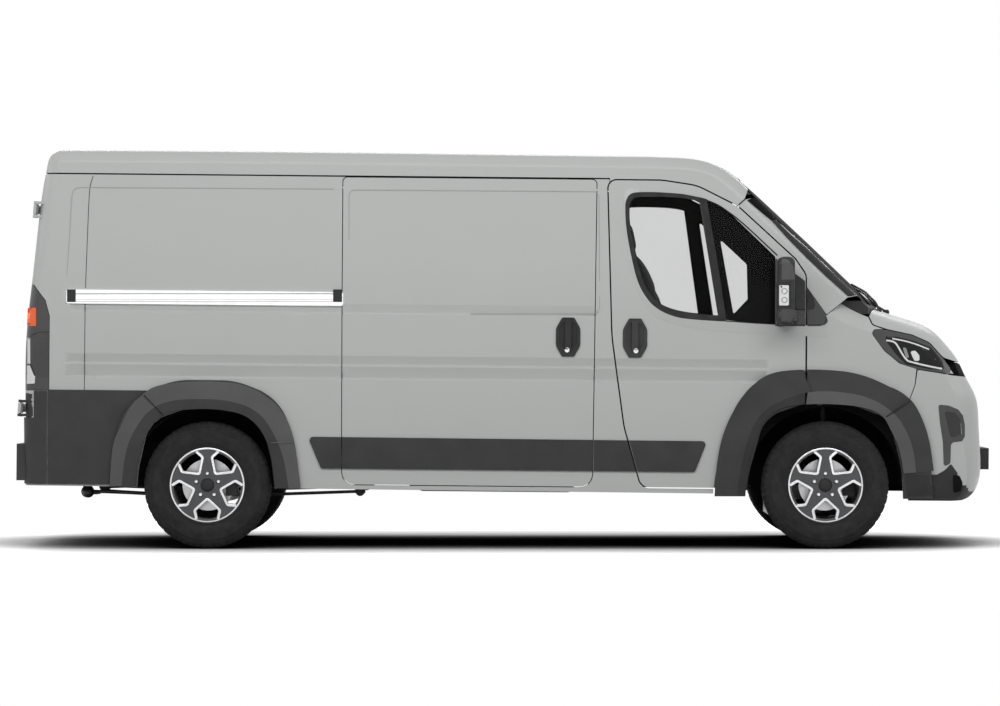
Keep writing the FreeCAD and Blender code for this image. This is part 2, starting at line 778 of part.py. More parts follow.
def side_cladding():
    """Rub strips on the body and the sliding door, and the cladding behind the rear wheels."""
    pieces = []
    for side in (RIGHT, LEFT):
        rub = strip(side, RUB_STRIP)
        rub = rub.cut([on_side(side, FRONT_DOOR, GAP, 800), on_side(side, REAR_FLARE, 2, 800)])
        if side == RIGHT:
            edges = [(from_rear(x), from_rear(x) + SEAM) for x in (743, 2147)]
            rub = rub.cut([box((a, -WIDE, 400), (b, 0, 700)) for a, b in edges])
        rear = strip(side, REAR_CLADDING).cut(on_side(side, REAR_FLARE, 2, 800))
        pieces += rub.Solids + rear.Solids
        sail = sides(-6).common(on_side(side, MIRROR_SAIL)).cut([cabin, nose])
        sail = sail.common(ahead_of(from_front(BELT_SEAM + GAP)))
        pieces += sail.Solids
    return Part.makeCompound(pieces)


def slide_rail():
    return strip(RIGHT, SLIDE_RAIL)


def rear_bumper():
    corner = on_side(RIGHT, [(from_end(-60), SILL + 8), (from_end(170), SILL + 8),
                             (from_end(170), 858), (from_end(-60), 858)], 0, 942)
    corner = cabin_clad.common(corner).cut(cabin)
    drop = 356 * math.sin(math.radians(size("rake")))
    step = box((float(REAR_END) - drop, -960, 356), (from_end(60), 960, 560)).cut(cabin)
    here = hinge_point(760)
    corner = corner.cut(box((here.x - 60, here.y - 60, 760 - 52), (here.x + 78, here.y + 60, 900)))
    return step.fuse(both_sides(corner).Solids)


HANDLE_PROUD, GRIP_PROUD = 8.0, 30.0


def door_handle(side, x, z):
    """A handle's barrel-shaped plate, its finger recess and its upright grip."""
    wide, tall = size("handle_width") / 2, size("handle_length") / 2
    outline = [(x - 0.5 * wide, z - tall, 12), (x + 0.5 * wide, z - tall, 12),
               (x + wide, z - 0.45 * tall, 60), (x + wide, z + 0.45 * tall, 60),
               (x + 0.5 * wide, z + tall, 12), (x - 0.5 * wide, z + tall, 12),
               (x - wide, z + 0.45 * tall, 60), (x - wide, z - 0.45 * tall, 60)]
    recess = [(x - 50, z - 60, 36), (x + 50, z - 60, 36), (x + 50, z + 81, 36),
              (x - 50, z + 81, 36)]
    grip = [(x - 17, z - 68, 8), (x + 17, z - 68, 8), (x + 17, z + 96, 8), (x - 17, z + 96, 8)]
    plate = sides(-HANDLE_PROUD).common(on_side(side, outline, 0, 800)).cut(cabin)
    plate = plate.cut(on_side(side, recess, 0, 800).cut(sides(-1.5)))
    return plate.fuse(sides(-GRIP_PROUD).common(on_side(side, grip, 0, 800)).cut(cabin))


FRONT_HANDLE = (from_front(-1075), 1183)
SLIDING_HANDLE = (from_rear(2002), 1185)


def mirror(side):
    """The door mirror's housing on its two arms."""
    x0, x1 = from_front(-294), from_front(-200)
    housing = box((x0, -1275, 1262), (x1, -1070, 1640))
    housing = housing.makeFillet(34, housing.Edges)
    arms = [box((x0 + 30, -1080, z), (x1 - 10, -960, z + 34)) for z in (1300, 1560)]
    shape = housing.fuse(arms).cut(sides(-6))
    return sided(side, shape)


def door_trim(side):
    """What the front door carries outside: mirror, sail, window post, handle, strip and flare."""
    door_area = on_side(side, FRONT_DOOR, -2, 800)
    sail = sides(-6).common(on_side(side, MIRROR_SAIL)).common(door_area).cut(cabin)
    post = sides(1).common(on_side(side, WINDOW_POST)).common(on_side(side, DOOR_WINDOW))
    post = post.cut(sides(size("glass_inset")))
    rub = strip(side, RUB_STRIP, door_area).cut(on_side(side, FRONT_FLARE, 2, 800))
    arch = flare(side, FRONT_FLARE, FRONT_ARCH, 354).cut(cabin)
    arch = arch.common(behind(from_front(BELT_SEAM - 3)))
    handle = door_handle(side, *FRONT_HANDLE)
    return Part.makeCompound(sail.fuse(mirror(side)).Solids + post.Solids + rub.Solids
                             + arch.Solids + handle.Solids)


# Underbody, cab and load space
def inside_cabin(shape, inset=0.0):
    return shape.common(cabin_inside if not inset else rounded_cabin(inset, inset, inset))


REAR_MEMBER = (from_rear(-760), from_rear(-700))


def floor_pan():
    """Load floor, cab floor, rails, sills, firewall and hinge pillars, welded together."""
    top, depth = size("floor_height"), size("floor_depth")
    load = box((from_end(95), -985, top - depth), (from_front(-1240), 985, top))
    cab_top = size("cab_floor_height")
    cab = box((from_front(-1262) + size("bulkhead_wall"), -900, cab_top - depth), (from_front(-20), 900, cab_top))
    pieces = [cab]
    for y in (-490, 430):
        pieces.append(box((from_end(95), y, 405), (from_front(760), y + 60, top - depth)))
    pieces.append(box((from_front(740), -640, 405), (from_front(775), 640, top - depth)))
    for x in (from_end(110), REAR_MEMBER[0], from_rear(560), from_front(-1300), from_front(-700)):
        pieces.append(box((x, -880, 440), (x + 60, 880, top - depth)))
    for side in (-1, 1):
        low, high = sorted((side * 820, side * 900))
        pieces.append(box((from_front(-1150), low, 350), (from_front(-480), high, cab_top - depth)))
        low, high = sorted((side * 850, side * 925))
        pieces.append(box((from_front(-105), low, 840), (from_front(-25), high, 1318)))
    pieces.append(box((from_front(-50), -570, cab_top - depth), (from_front(-25), 570, 1330)))
    pieces.append(box((from_front(-50), -925, 815), (from_front(-25), 925, 1330)))
    pan = load.common(cabin_inside).fuse(pieces)
    hollows = []
    for axle_x, inner in ((from_rear(0), REAR_HOUSING), (from_front(0), FRONT_HOUSING)):
        centre = in_body(axle_x, 0, size("tyre_radius"))
        right = rod((centre.x, -WIDE, centre.z), (centre.x, -inner, centre.z), HOUSING_RADIUS)
        hollows += [right, mirrored(right)]
    tower = raked_back(rod(kingpin(RIGHT, 640), kingpin(RIGHT, 920), TOWER_RADIUS))
    rear_sill = box((from_end(96), -900, 425), (from_end(130), 900, top - depth))
    deck = box((from_end(150), -735, top), (from_front(-1290), 735, top + 6))
    return pan.cut(hollows + [tower, mirrored(tower)]).fuse([rear_sill, deck])


def kingpin(side, z):
    """The steering axis: it leans in towards its upper end."""
    inset = size("kingpin_inset") + 0.18 * (z - size("tyre_radius"))
    return Vector(from_front(0), side * (size("front_track") / 2 - inset), z)


def raked_back(shape):
    """A shape of the ground's frame, in the level body's frame."""
    return shape.transformed(RAKE.inverse().toMatrix())


REAR_HOUSING = 758
FRONT_HOUSING = 575
HOUSING_RADIUS = 446
TOWER_RADIUS = 62


def wheel_housing(axle_x, inner, outer):
    """A pressed housing over a right-hand wheel, open below and outboard."""
    z = size("tyre_radius")
    shell = rod((axle_x, -outer, z), (axle_x, -inner, z), HOUSING_RADIUS)
    shell = shell.cut(rod((axle_x, -outer, z), (axle_x, -inner - 12, z), HOUSING_RADIUS - 12))
    return shell.common(box((-4000, -WIDE, 345), (4000, 0, 2000)))


def wheel_housings():
    x, z = from_rear(0), size("tyre_radius")
    rear = wheel_housing(x, REAR_HOUSING, 936)
    rear = rear.cut(box((x - 75, -800, 300), (x + 75, -700, z + 80)))
    front = wheel_housing(from_front(0), FRONT_HOUSING, 920)
    x = from_front(0)
    top, foot = kingpin(RIGHT, 900), kingpin(RIGHT, 640)
    well = rod((x, -920, z), (x, -FRONT_HOUSING - 12, z), HOUSING_RADIUS - 12)
    tower = rod(foot, top, TOWER_RADIUS).cut([rod(foot, kingpin(RIGHT, 888), 48), well])
    front = front.cut(rod(foot, kingpin(RIGHT, 895), 48)).fuse(tower.Solids)
    spigot = rod(kingpin(RIGHT, 862), kingpin(RIGHT, 892), 8)
    front = front.fuse(spigot)
    return Part.makeCompound([s for part in (rear, front) for s in both_sides(part).Solids])


def bulkhead():
    wall = box((from_front(-1262), -1100, size("floor_height")),
               (from_front(-1262) + size("bulkhead_wall"), 1100, 2300))
    return wall.common(cabin_inside)


def seat(y, width):
    """Seat box, cushion, backrest and headrest of one seat."""
    low, high = y - width / 2, y + width / 2
    x = from_front
    base = box((x(-930), low + 60, size("cab_floor_height")), (x(-480), high - 60, 760))
    cushion = across([(x(-960), 760, 40), (x(-420), 760, 40), (x(-420), 900, 50),
                      (x(-960), 880, 40)], 0, low, high)
    back = across([(x(-940), 830, 40), (x(-780), 860, 40), (x(-1045), 1640, 50),
                   (x(-1165), 1640, 50)], 0, low, high)
    head = across([(x(-1160), 1660, 30), (x(-1062), 1660, 30), (x(-1092), 1830, 40),
                   (x(-1185), 1830, 40)], 0, y - 135, y + 135)
    posts = box((x(-1130), y - 50, 1600), (x(-1112), y + 50, 1700))
    return base.fuse([cushion, back, head, posts])


def seats():
    return Part.makeCompound([seat(575, 490), seat(-160, 440), seat(-615, 450)])


def dashboard():
    outline = at_front([(-430, 1010, 40), (-440, 1140, 60), (-290, 1285, 80), (-70, 1320),
                        (-70, 930), (-300, 900, 60)])
    return across(outline, 0, -845, 845)


def steering_wheel():
    centre, tilt = Vector(from_front(-500), 575, 1165), 32
    ring = Part.makeTorus(size("steering_wheel_radius"), 15)
    hub = Part.makeCylinder(70, 40, Vector(0, 0, -25))
    spokes = [Part.makeBox(size("steering_wheel_radius"), 36, 16, Vector(0, -18, -14))
              for _ in range(3)]
    for spoke, angle in zip(spokes, (0, 130, 230)):
        spoke.rotate(Vector(), Vector(0, 0, 1), angle)
    column = Part.makeCylinder(30, 190, Vector(0, 0, -210))
    shape = ring.fuse(spokes + [hub, column])
    shape.Placement = Placement(centre, Rotation(Vector(0, 1, 0), -tilt))
    return shape.cut(dashboard())


# Running gear
def lower_arm():
    ball = kingpin(RIGHT, 200)
    corners = [(ball.x - 32, ball.y + 24, 30), (ball.x + 32, ball.y + 24, 30),
               (ball.x + 40, ball.y + 210, 60), (ball.x + 170, -440), (ball.x - 270, -440),
               (ball.x - 44, ball.y + 230, 60)]
    return prism(rounded_wire(corners, floor_plane(176)), Vector(0, 0, 18))


def subframe():
    x = from_front
    frame = box((x(-275), -490, 176), (x(260), 490, 250))
    frame = frame.cut(box((x(-205), -370, 100), (x(190), 370, 300)))
    posts = [box((x(a), b, 240), (x(a) + 70, b + 60, 405)) for a in (-275, 190)
             for b in (-490, 430)]
    return frame.fuse(posts + both_sides(lower_arm()).Solids)


def rear_axle_beam():
    x, z = from_rear(0), size("tyre_radius")
    seat_ = size("rear_track") / 2
    beam = rod((x, -seat_ + 62, z), (x, seat_ - 62, z), size("beam_radius"))
    stubs = rod((x, -seat_ - 34, z), (x, seat_ + 34, z), size("stub_radius"))
    parts = [stubs]
    for side in (-1, 1):
        y = side * size("spring_spacing") / 2
        parts.append(box((x - 60, y - 40, 297), (x + 60, y + 40, z)))
        parts.append(caliper(side, seat_).translated(Vector(x, 0, z)))
        parts.append(box((x - 102, side * 395 - 24, 322), (x, side * 395 + 24, 350)))
    return beam.fuse(parts)


def caliper(side, seat_):
    """A brake caliper over the disc, ahead of the axle, with its arm to the hub."""
    low, high = sorted((side * (seat_ - 76), side * (seat_ - 0)))
    block = box((98, low, -62), (166, high, 62)).cut(
        box((0, min(side * (seat_ - 51), side * (seat_ - 13)), -100),
            (152, max(side * (seat_ - 51), side * (seat_ - 13)), 100)))
    block = block.common(Part.makeCylinder(176, 4000, Vector(0, -2000, 0), Vector(0, 1, 0)))
    low, high = sorted((side * (seat_ - 76), side * (seat_ - 54)))
    return block.fuse(box((0, low, -45), (130, high, 45)))


def leaf_springs():
    x = from_rear
    leaf, wide = size("spring_leaf"), size("spring_width")
    y = -size("spring_spacing") / 2
    path = [(-705, 303), (-300, 286), (-65, 281), (65, 281), (400, 286), (840, 301)]
    top = Part.makePolygon([Vector(x(a), y - wide / 2, b + leaf) for a, b in path])
    low = Part.makePolygon([Vector(x(a), y - wide / 2, b) for a, b in reversed(path)])
    ends = [Part.makeLine(top.Vertexes[-1].Point, low.Vertexes[0].Point),
            Part.makeLine(low.Vertexes[-1].Point, top.Vertexes[0].Point)]
    spring = prism(Part.Wire(top.Edges + ends[:1] + low.Edges + ends[1:]), Vector(0, wide, 0))
    floor_z = size("floor_height") - size("floor_depth")
    front_eye = rod((x(840), y - wide / 2, 309), (x(840), y + wide / 2, 309), 26)
    under_floor = raked(box((-4000, -WIDE, 0), (4000, WIDE, floor_z)))
    front_bracket = box((x(812), y - 45, 300), (x(868), y + 45, floor_z + 60)).cut(
        box((x(800), y - wide / 2, 270), (x(880), y + wide / 2, 350)))
    rear_eye = rod((x(-705), y - wide / 2, 309), (x(-705), y + wide / 2, 309), 34)
    shackle = box((x(-727), y - 45, 300), (x(-683), y + 45, floor_z + 60)).cut(
        box((x(-745), y - wide / 2, 260), (x(-665), y + wide / 2, 355)))
    member = raked(box((REAR_MEMBER[0], -WIDE, 400), (REAR_MEMBER[1], WIDE, floor_z + 1)))
    right = spring.fuse([front_eye, front_bracket, rear_eye, shackle]).common(under_floor)
    return both_sides(right.cut(member))


def dampers():
    floor_z = size("floor_height") - size("floor_depth")
    foot = Vector(from_rear(-70), -395, 330)
    top = Vector(from_rear(-150), -395, floor_z + 80)
    body = rod(foot, top, 22).common(raked(box((-4000, -WIDE, 0), (4000, 0, floor_z))))
    return both_sides(body.common(box((-4000, -WIDE, 350), (4000, 0, 2000))))


def engine_block():
    x = from_front
    block = box((x(140), -330, 420), (x(560), 330, 980))
    block = block.makeFillet(20, block.Edges)
    arms = [box((x(300), -430, 450), (x(400), -300, 485)), box((x(300), 300, 450), (x(400), 430, 485))]
    return block.fuse(arms)


def fuel_tank():
    tank = box((from_rear(1150), -400, 300), (from_rear(2050), 400, 470))
    tank = tank.makeFillet(40, tank.Edges)
    floor_z = size("floor_height") - size("floor_depth")
    saddles = [box((from_rear(x), -280, 430), (from_rear(x) + 60, 280, floor_z)) for x in (1300, 1840)]
    return tank.fuse(saddles)


def swept(points, bend, radius):
    """A pipe of round section through points, with every bend the same radius."""
    edges = []
    here = Vector(*points[0])
    for index in range(1, len(points) - 1):
        corner = Vector(*points[index])
        back = (Vector(*points[index - 1]) - corner).normalize()
        on = (Vector(*points[index + 1]) - corner).normalize()
        half = back.getAngle(on) / 2
        reach = bend / math.tan(half)
        start, end = corner + back * reach, corner + on * reach
        middle = corner + (back + on).normalize() * (bend / math.sin(half) - bend)
        edges += [Part.makeLine(here, start), Part.Arc(start, middle, end).toShape()]
        here = end
    edges.append(Part.makeLine(here, Vector(*points[-1])))
    path = Part.Wire(edges)
    section = Part.Wire(Part.makeCircle(radius, Vector(*points[0]),
                                        Vector(*points[1]) - Vector(*points[0])))
    return path.makePipeShell([section], True, False)


def exhaust():
    x = from_rear
    pipe = swept([(from_front(-420), -330, 350), (from_front(-600), -700, 390),
                  (x(1560), -700, 390)], 120, size("exhaust_radius"))
    silencer = box((x(1120), -768, 326), (x(1580), -632, 462))
    silencer = silencer.makeFillet(50, [e for e in silencer.Edges if e.Length > 400])
    tail = swept([(x(1140), -700, 390), (x(1000), -700, 390), (x(900), -870, 365)], 60,
                 size("exhaust_radius") - 5)
    floor_z = size("floor_height") - size("floor_depth")
    hangers = [box((x(a), -706, 405), (x(a) + 12, -694, floor_z)) for a in (1200, 1500, 2500)]
    return pipe.fuse([silencer, tail] + hangers)


def revolved(profile, centre, axis):
    """A ring from (radius, distance along the axis) corners."""
    wire = rounded_wire([(r, w) for r, w in profile], lambda r, w: Vector(r, 0, w))
    ring = upright(Part.Face(wire).revolve(Vector(), Vector(0, 0, 1), 360))
    ring.Placement = Placement(centre, Rotation(Vector(0, 0, 1), axis))
    return ring


def knuckle(side):
    """Upright, stub axle, strut and caliper: they steer together."""
    seat_ = size("front_track") / 2
    x, z = from_front(0), size("tyre_radius")
    stub = rod((x, side * (seat_ - size("kingpin_inset")), z), (x, side * (seat_ + 34), z),
               size("stub_radius"))
    upright_ = rod(kingpin(side, 212), kingpin(side, 470), 24)
    ball = Part.makeSphere(17, kingpin(side, 212))
    strut = rod(kingpin(side, 440), kingpin(side, 700), size("strut_radius"))
    top = rod(kingpin(side, 690), kingpin(side, 880), 20).cut(
        rod(kingpin(side, 850), kingpin(side, 890), 8 + size("running_clearance")))
    brake = caliper(side, seat_).translated(Vector(x, 0, z))
    shape = stub.fuse([upright_, ball, strut, top, brake])
    return shape.cut(box((x - 300, -WIDE, 0), (x + 300, WIDE, 197)))


pieces = {}


def add(name, shape, place=RAKE):
    """An object of the document with its own label, tipped with the body where it belongs to it."""
    solids = shape.Solids
    feature = doc.addObject("Part::Feature", name)
    feature.Label = name
    feature.Shape = solids[0] if len(solids) == 1 else Part.makeCompound(solids)
    feature.Placement = place
    pieces[name] = feature
    return feature


LEVEL = Placement()
SIDE_NAME = {RIGHT: "right", LEFT: "left"}

def make(name, function, *arguments, place=RAKE):
    shape = function(*arguments)
    add(name, shape, place)
    print(name, len(shape.Solids), shape.isValid(), round(shape.Volume / 1e6, 2), "l", end=" ")
    lap("")


lap("masters")
make("roof", roof_panel)
make("side_right", side_panel, RIGHT)
make("side_left", side_panel, LEFT)
make("sliding_door", sliding_door)
make("wings", wing_panels)
make("front_bumper", front_bumper)
make("bumper_trim", bumper_trim)
make("grille", grille)
make("headlamps", headlamps)
make("tail_lamps", tail_lamps)
make("rear_bumper", rear_bumper)
make("windscreen", lambda: windscreen)
make("cowl", cowl)
make("arch_flares", arch_flares)
make("side_cladding", side_cladding)
make("slide_rail", slide_rail)
make("sliding_door_handle", door_handle, RIGHT, *SLIDING_HANDLE)
make("floor", floor_pan)
make("wheel_housings", wheel_housings, place=LEVEL)
make("bulkhead", bulkhead)
make("seats", seats)
make("dashboard", dashboard)
make("steering_wheel", steering_wheel)
make("bonnet", bonnet_panel)
for side, word in SIDE_NAME.items():
    make("front_door_" + word, front_door, side)
    make("door_glass_" + word, door_glass, side)
    make("door_trim_" + word, door_trim, side)
    make("rear_door_" + word, rear_door, side)
make("subframe", subframe)
make("rear_axle", rear_axle_beam, place=LEVEL)
make("leaf_springs", leaf_springs, place=LEVEL)
make("dampers", dampers, place=LEVEL)
make("engine_block", engine_block)
make("fuel_tank", fuel_tank)
make("exhaust", exhaust)
for side, word in SIDE_NAME.items():
    make("knuckle_" + word, knuckle, side, place=LEVEL)


# Wheels
def axis_plane(body, role):
    return [feature for feature in body.Origin.OriginFeatures if feature.Role == role][0]


def bound_outline(body, role, corners):
    """A closed sketch of straight runs whose corners are bound to the sheet."""
    sketch = body.newObject("Sketcher::SketchObject", body.Name + "_outline")
    sketch.AttachmentSupport = [(axis_plane(body, role), "")]
    sketch.MapMode = "FlatFace"
    corners = [(term(a), term(b)) for a, b in corners]
    flat = [Vector(float(a), float(b), 0) for a, b in corners]
    count = len(flat)
    for index in range(count):
        sketch.addGeometry(Part.LineSegment(flat[index], flat[(index + 1) % count]), False)
    for index in range(count):
        sketch.addConstraint(
            Sketcher.Constraint("Coincident", index, 2, (index + 1) % count, 1))
    for index, (a, b) in enumerate(corners):
        for kind, measure in (("DistanceX", a), ("DistanceY", b)):
            number = sketch.addConstraint(
                Sketcher.Constraint(kind, -1, 1, index, 1, float(measure)))
            sketch.setExpression("Constraints[%d]" % number, measure.text)
    return sketch


def turned_body(name, corners):
    """A body turned about its own Y axis from (radius, offset outboard) corners."""
    body = doc.addObject("PartDesign::Body", name)
    body.Label = name
    sketch = bound_outline(body, "XY_Plane", corners)
    turned = body.newObject("PartDesign::Revolution", name + "_turned")
    turned.Profile = sketch
    turned.ReferenceAxis = (sketch, ["V_Axis"])
    turned.Angle = 360
    body.Tip = turned
    return body


BORE = cell("stub_radius") + cell("running_clearance")
HALF_RIM = cell("rim_width") / 2
BARREL = cell("rim_seat") - cell("rim_wall")
HALF_TREAD = cell("tyre_width") / 2 - 29
FACE_INNER = term(20)
CAP_INNER = term(40)


def tyre(name):
    bead = HALF_RIM - 16
    outer = [(cell("rim_seat"), bead), (cell("rim_radius") + 6, HALF_RIM - 6),
             (cell("tyre_radius") - 70, cell("tyre_width") / 2), (cell("tyre_radius"), HALF_TREAD)]
    return turned_body(name, outer + [(r, -w) for r, w in reversed(outer)])


def rim(name):
    """Barrel, dished face with five windows, hub and closed centre cap in one casting."""
    seat_, flange = cell("rim_seat"), cell("rim_radius")
    face = FACE_INNER + cell("spoke_depth")
    body = turned_body(name, [
        (0, CAP_INNER + 14), (0, CAP_INNER), (BORE, CAP_INNER), (BORE, FACE_INNER),
        (cell("hub_radius") + 6, FACE_INNER), (BARREL, FACE_INNER + 14), (BARREL, 10 - HALF_RIM),
        (flange - 8, -HALF_RIM), (flange, -HALF_RIM), (flange, 7 - HALF_RIM),
        (seat_, 13 - HALF_RIM), (seat_, HALF_RIM - 13), (flange, HALF_RIM - 7), (flange, HALF_RIM),
        (flange - 8, HALF_RIM), (BARREL, HALF_RIM - 12), (BARREL - 4, face + 12),
        (cell("hub_radius") + 6, face + 4)])
    doc.recompute()
    windows = body.newObject("Sketcher::SketchObject", name + "_window")
    windows.AttachmentSupport = [(axis_plane(body, "XZ_Plane"), "")]
    windows.MapMode = "FlatFace"
    inner, outer = size("hub_radius") + 16, size("rim_seat") - size("rim_wall") - 12
    corners = [(-17, inner), (17, inner), (76, outer - 26), (58, outer), (-58, outer),
               (-76, outer - 26)]
    for index in range(len(corners)):
        a, b = corners[index], corners[(index + 1) % len(corners)]
        windows.addGeometry(Part.LineSegment(Vector(a[0], a[1], 0), Vector(b[0], b[1], 0)), False)
    pocket = body.newObject("PartDesign::Pocket", name + "_cut")
    pocket.Profile = windows
    pocket.Type = "ThroughAll"
    pocket.Midplane = True
    pattern = body.newObject("PartDesign::PolarPattern", name + "_cuts")
    pattern.Originals = [pocket]
    pattern.Axis = (axis_plane(body, "Y_Axis"), [""])
    pattern.Angle = 360
    pattern.Occurrences = 5
    body.Tip = pattern
    return body


def brake_disc(name):
    front, back = term(-19), -cell("disc_wall") - 19
    return turned_body(name, [
        (BORE, back), (BORE, FACE_INNER), (cell("hub_radius"), FACE_INNER),
        (cell("hub_radius"), front), (cell("disc_radius"), front), (cell("disc_radius"), back)])


AXLES = {"front": (FRONT_AXLE, cell("front_track") / 2), "rear": (REAR_AXLE, cell("rear_track") / 2)}
for end, (axle_x, seat_) in AXLES.items():
    for side, word in SIDE_NAME.items():
        for maker, kind in ((tyre, "tyre"), (rim, "rim"), (brake_disc, "brake_disc")):
            name = "%s_%s_%s" % (kind, end, word)
            body = maker(name)
            turn = 0 if side == LEFT else 180
            body.Placement = Placement(Vector(), Rotation(Vector(0, 0, 1), turn))
            body.setExpression("Placement.Base.x", axle_x.text)
            body.setExpression("Placement.Base.y", (seat_ * side).text)
            body.setExpression("Placement.Base.z", AXLE_HEIGHT.text)
            pieces[name] = body
doc.recompute()
lap("wheels")

os.makedirs("parts", exist_ok=True)
for thing in doc.Objects:
    if "Invalid" in thing.State or "Error" in thing.State:
        raise RuntimeError("%s did not recompute" % thing.Label)
for name, piece in pieces.items():
    if piece.Shape.isNull() or not piece.Shape.isValid():
        raise RuntimeError("%s is not a sound solid" % name)
    piece.Shape.exportStep("parts/%s.step" % name)
lap("export")
everything = Part.makeCompound([piece.Shape for piece in pieces.values()])
print(len(pieces), everything.optimalBoundingBox())
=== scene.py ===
"""A light grey panel van on a white studio floor, seen from its right side."""
import itertools
import math

import bmesh
import bpy
import numpy as np
from mathutils import Matrix, Vector
from mathutils.bvhtree import BVHTree
from mathutils.interpolate import poly_3d_calc


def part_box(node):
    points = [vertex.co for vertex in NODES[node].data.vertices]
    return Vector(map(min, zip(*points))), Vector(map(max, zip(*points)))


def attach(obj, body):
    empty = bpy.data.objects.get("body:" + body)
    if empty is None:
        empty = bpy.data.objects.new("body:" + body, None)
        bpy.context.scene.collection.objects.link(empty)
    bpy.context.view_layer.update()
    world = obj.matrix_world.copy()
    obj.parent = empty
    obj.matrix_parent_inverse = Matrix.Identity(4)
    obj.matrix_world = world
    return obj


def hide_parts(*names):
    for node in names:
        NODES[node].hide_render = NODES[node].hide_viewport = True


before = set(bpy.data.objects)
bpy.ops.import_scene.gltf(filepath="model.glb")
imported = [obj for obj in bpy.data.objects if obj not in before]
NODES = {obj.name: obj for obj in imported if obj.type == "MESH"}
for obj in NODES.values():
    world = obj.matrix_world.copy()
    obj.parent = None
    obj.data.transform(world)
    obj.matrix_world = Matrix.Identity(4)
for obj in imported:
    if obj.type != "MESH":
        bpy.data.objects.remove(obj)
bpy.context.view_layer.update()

# Places taken over from the part, in millimetres
RAKE = math.radians(0.55)
FRONT_AXLE, REAR_AXLE, AXLE_HEIGHT = 1767.0, -1683.0, 356.0
RIGHT, LEFT = -1, 1
SIDES = {RIGHT: "right", LEFT: "left"}
BODY = "body"


def tip(x, y, z):
    """A point of the level body in millimetres, as it stands, in metres."""
    c, s = math.cos(RAKE), math.sin(RAKE)
    return Vector((x * c + z * s, y, z * c - x * s)) / 1000.0


# Materials
class Shader:
    """A principled material and short ways to add procedural detail to it."""

    def __init__(self, name, colour, roughness=0.5, metallic=0.0, **sockets):
        self.material = bpy.data.materials.new(name)
        self.material.use_nodes = True
        self.nodes = self.material.node_tree.nodes
        self.links = self.material.node_tree.links
        self.bsdf = self.nodes["Principled BSDF"]
        self.put("Base Color", (*colour, 1.0))
        self.put("Roughness", roughness)
        self.put("Metallic", metallic)
        for key, value in sockets.items():
            self.put(key.replace("_", " "), value)
        self.coords = self.nodes.new("ShaderNodeTexCoord")

    def put(self, socket, value):
        self.bsdf.inputs[socket].default_value = value

    def noise(self, scale, detail=4.0, stretch=(1.0, 1.0, 1.0), distortion=0.0):
        mapping = self.nodes.new("ShaderNodeMapping")
        mapping.inputs["Scale"].default_value = stretch
        texture = self.nodes.new("ShaderNodeTexNoise")
        texture.inputs["Scale"].default_value = scale
        texture.inputs["Detail"].default_value = detail
        texture.inputs["Distortion"].default_value = distortion
        self.links.new(self.coords.outputs["Object"], mapping.inputs["Vector"])
        self.links.new(mapping.outputs["Vector"], texture.inputs["Vector"])
        return texture.outputs["Fac"]

    def cells(self, scale, feature="F1"):
        texture = self.nodes.new("ShaderNodeTexVoronoi")
        texture.feature = feature
        texture.inputs["Scale"].default_value = scale
        self.links.new(self.coords.outputs["Object"], texture.inputs["Vector"])
        return texture.outputs["Distance"]

    def waves(self, scale, stretch=(1.0, 1.0, 1.0), direction="X"):
        mapping = self.nodes.new("ShaderNodeMapping")
        mapping.inputs["Scale"].default_value = stretch
        texture = self.nodes.new("ShaderNodeTexWave")
        texture.bands_direction = direction
        texture.inputs["Scale"].default_value = scale
        self.links.new(self.coords.outputs["Object"], mapping.inputs["Vector"])
        self.links.new(mapping.outputs["Vector"], texture.inputs["Vector"])
        return texture.outputs["Fac"]

    def span(self, value, low, high, start=0.0, end=1.0):
        node = self.nodes.new("ShaderNodeMapRange")
        node.inputs["From Min"].default_value = start
        node.inputs["From Max"].default_value = end
        node.inputs["To Min"].default_value = low
        node.inputs["To Max"].default_value = high
        self.links.new(value, node.inputs["Value"])
        return node.outputs["Result"]

    def roughness(self, value, low, high, start=0.3, end=0.7):
        self.links.new(self.span(value, low, high, start, end), self.bsdf.inputs["Roughness"])
        return self

    def tint(self, value, low, high, start=0.3, end=0.7):
        """Mixes the base colour between two colours by a value."""
        mix = self.nodes.new("ShaderNodeMix")
        mix.data_type = "RGBA"
        mix.inputs["A"].default_value = (*low, 1.0)
        mix.inputs["B"].default_value = (*high, 1.0)
        self.links.new(self.span(value, 0.0, 1.0, start, end), mix.inputs["Factor"])
        self.links.new(mix.outputs["Result"], self.bsdf.inputs["Base Color"])
        return self

    def bump(self, value, strength, distance):
        node = self.nodes.new("ShaderNodeBump")
        node.inputs["Strength"].default_value = strength
        node.inputs["Distance"].default_value = distance
        self.links.new(value, node.inputs["Height"])
        last = self.bsdf.inputs["Normal"]
        if last.is_linked:
            self.links.new(last.links[0].from_socket, node.inputs["Normal"])
        self.links.new(node.outputs["Normal"], last)
        return self

    def height(self):
        split = self.nodes.new("ShaderNodeSeparateXYZ")
        self.links.new(self.coords.outputs["Object"], split.inputs["Vector"])
        return split.outputs["Z"]


def paint(name, colour):
    shader = Shader(name, colour, 0.5, Coat_Weight=0.16, Coat_Roughness=0.10,
                    Specular_IOR_Level=0.22)
    low = tuple(0.985 * c for c in colour)
    shader.tint(shader.noise(3.0, 5.0), low, colour)
    shader.roughness(shader.noise(26.0, 5.0), 0.46, 0.54)
    shader.bump(shader.noise(420.0, 2.0), 0.10, 0.0002)
    return shader.material


def grained(name, colour, roughness=0.55, scale=520.0, depth=0.0006, specular=0.3):
    """Moulded plastic: fine grain, with faint dusty patches."""
    shader = Shader(name, colour, roughness, Specular_IOR_Level=specular)
    high = tuple(1.25 * c + 0.004 for c in colour)
    shader.tint(shader.noise(4.0, 6.0), colour, high)
    shader.roughness(shader.noise(9.0, 5.0), roughness - 0.06, roughness + 0.08)
    shader.bump(shader.cells(scale), 0.35, depth)
    return shader.material


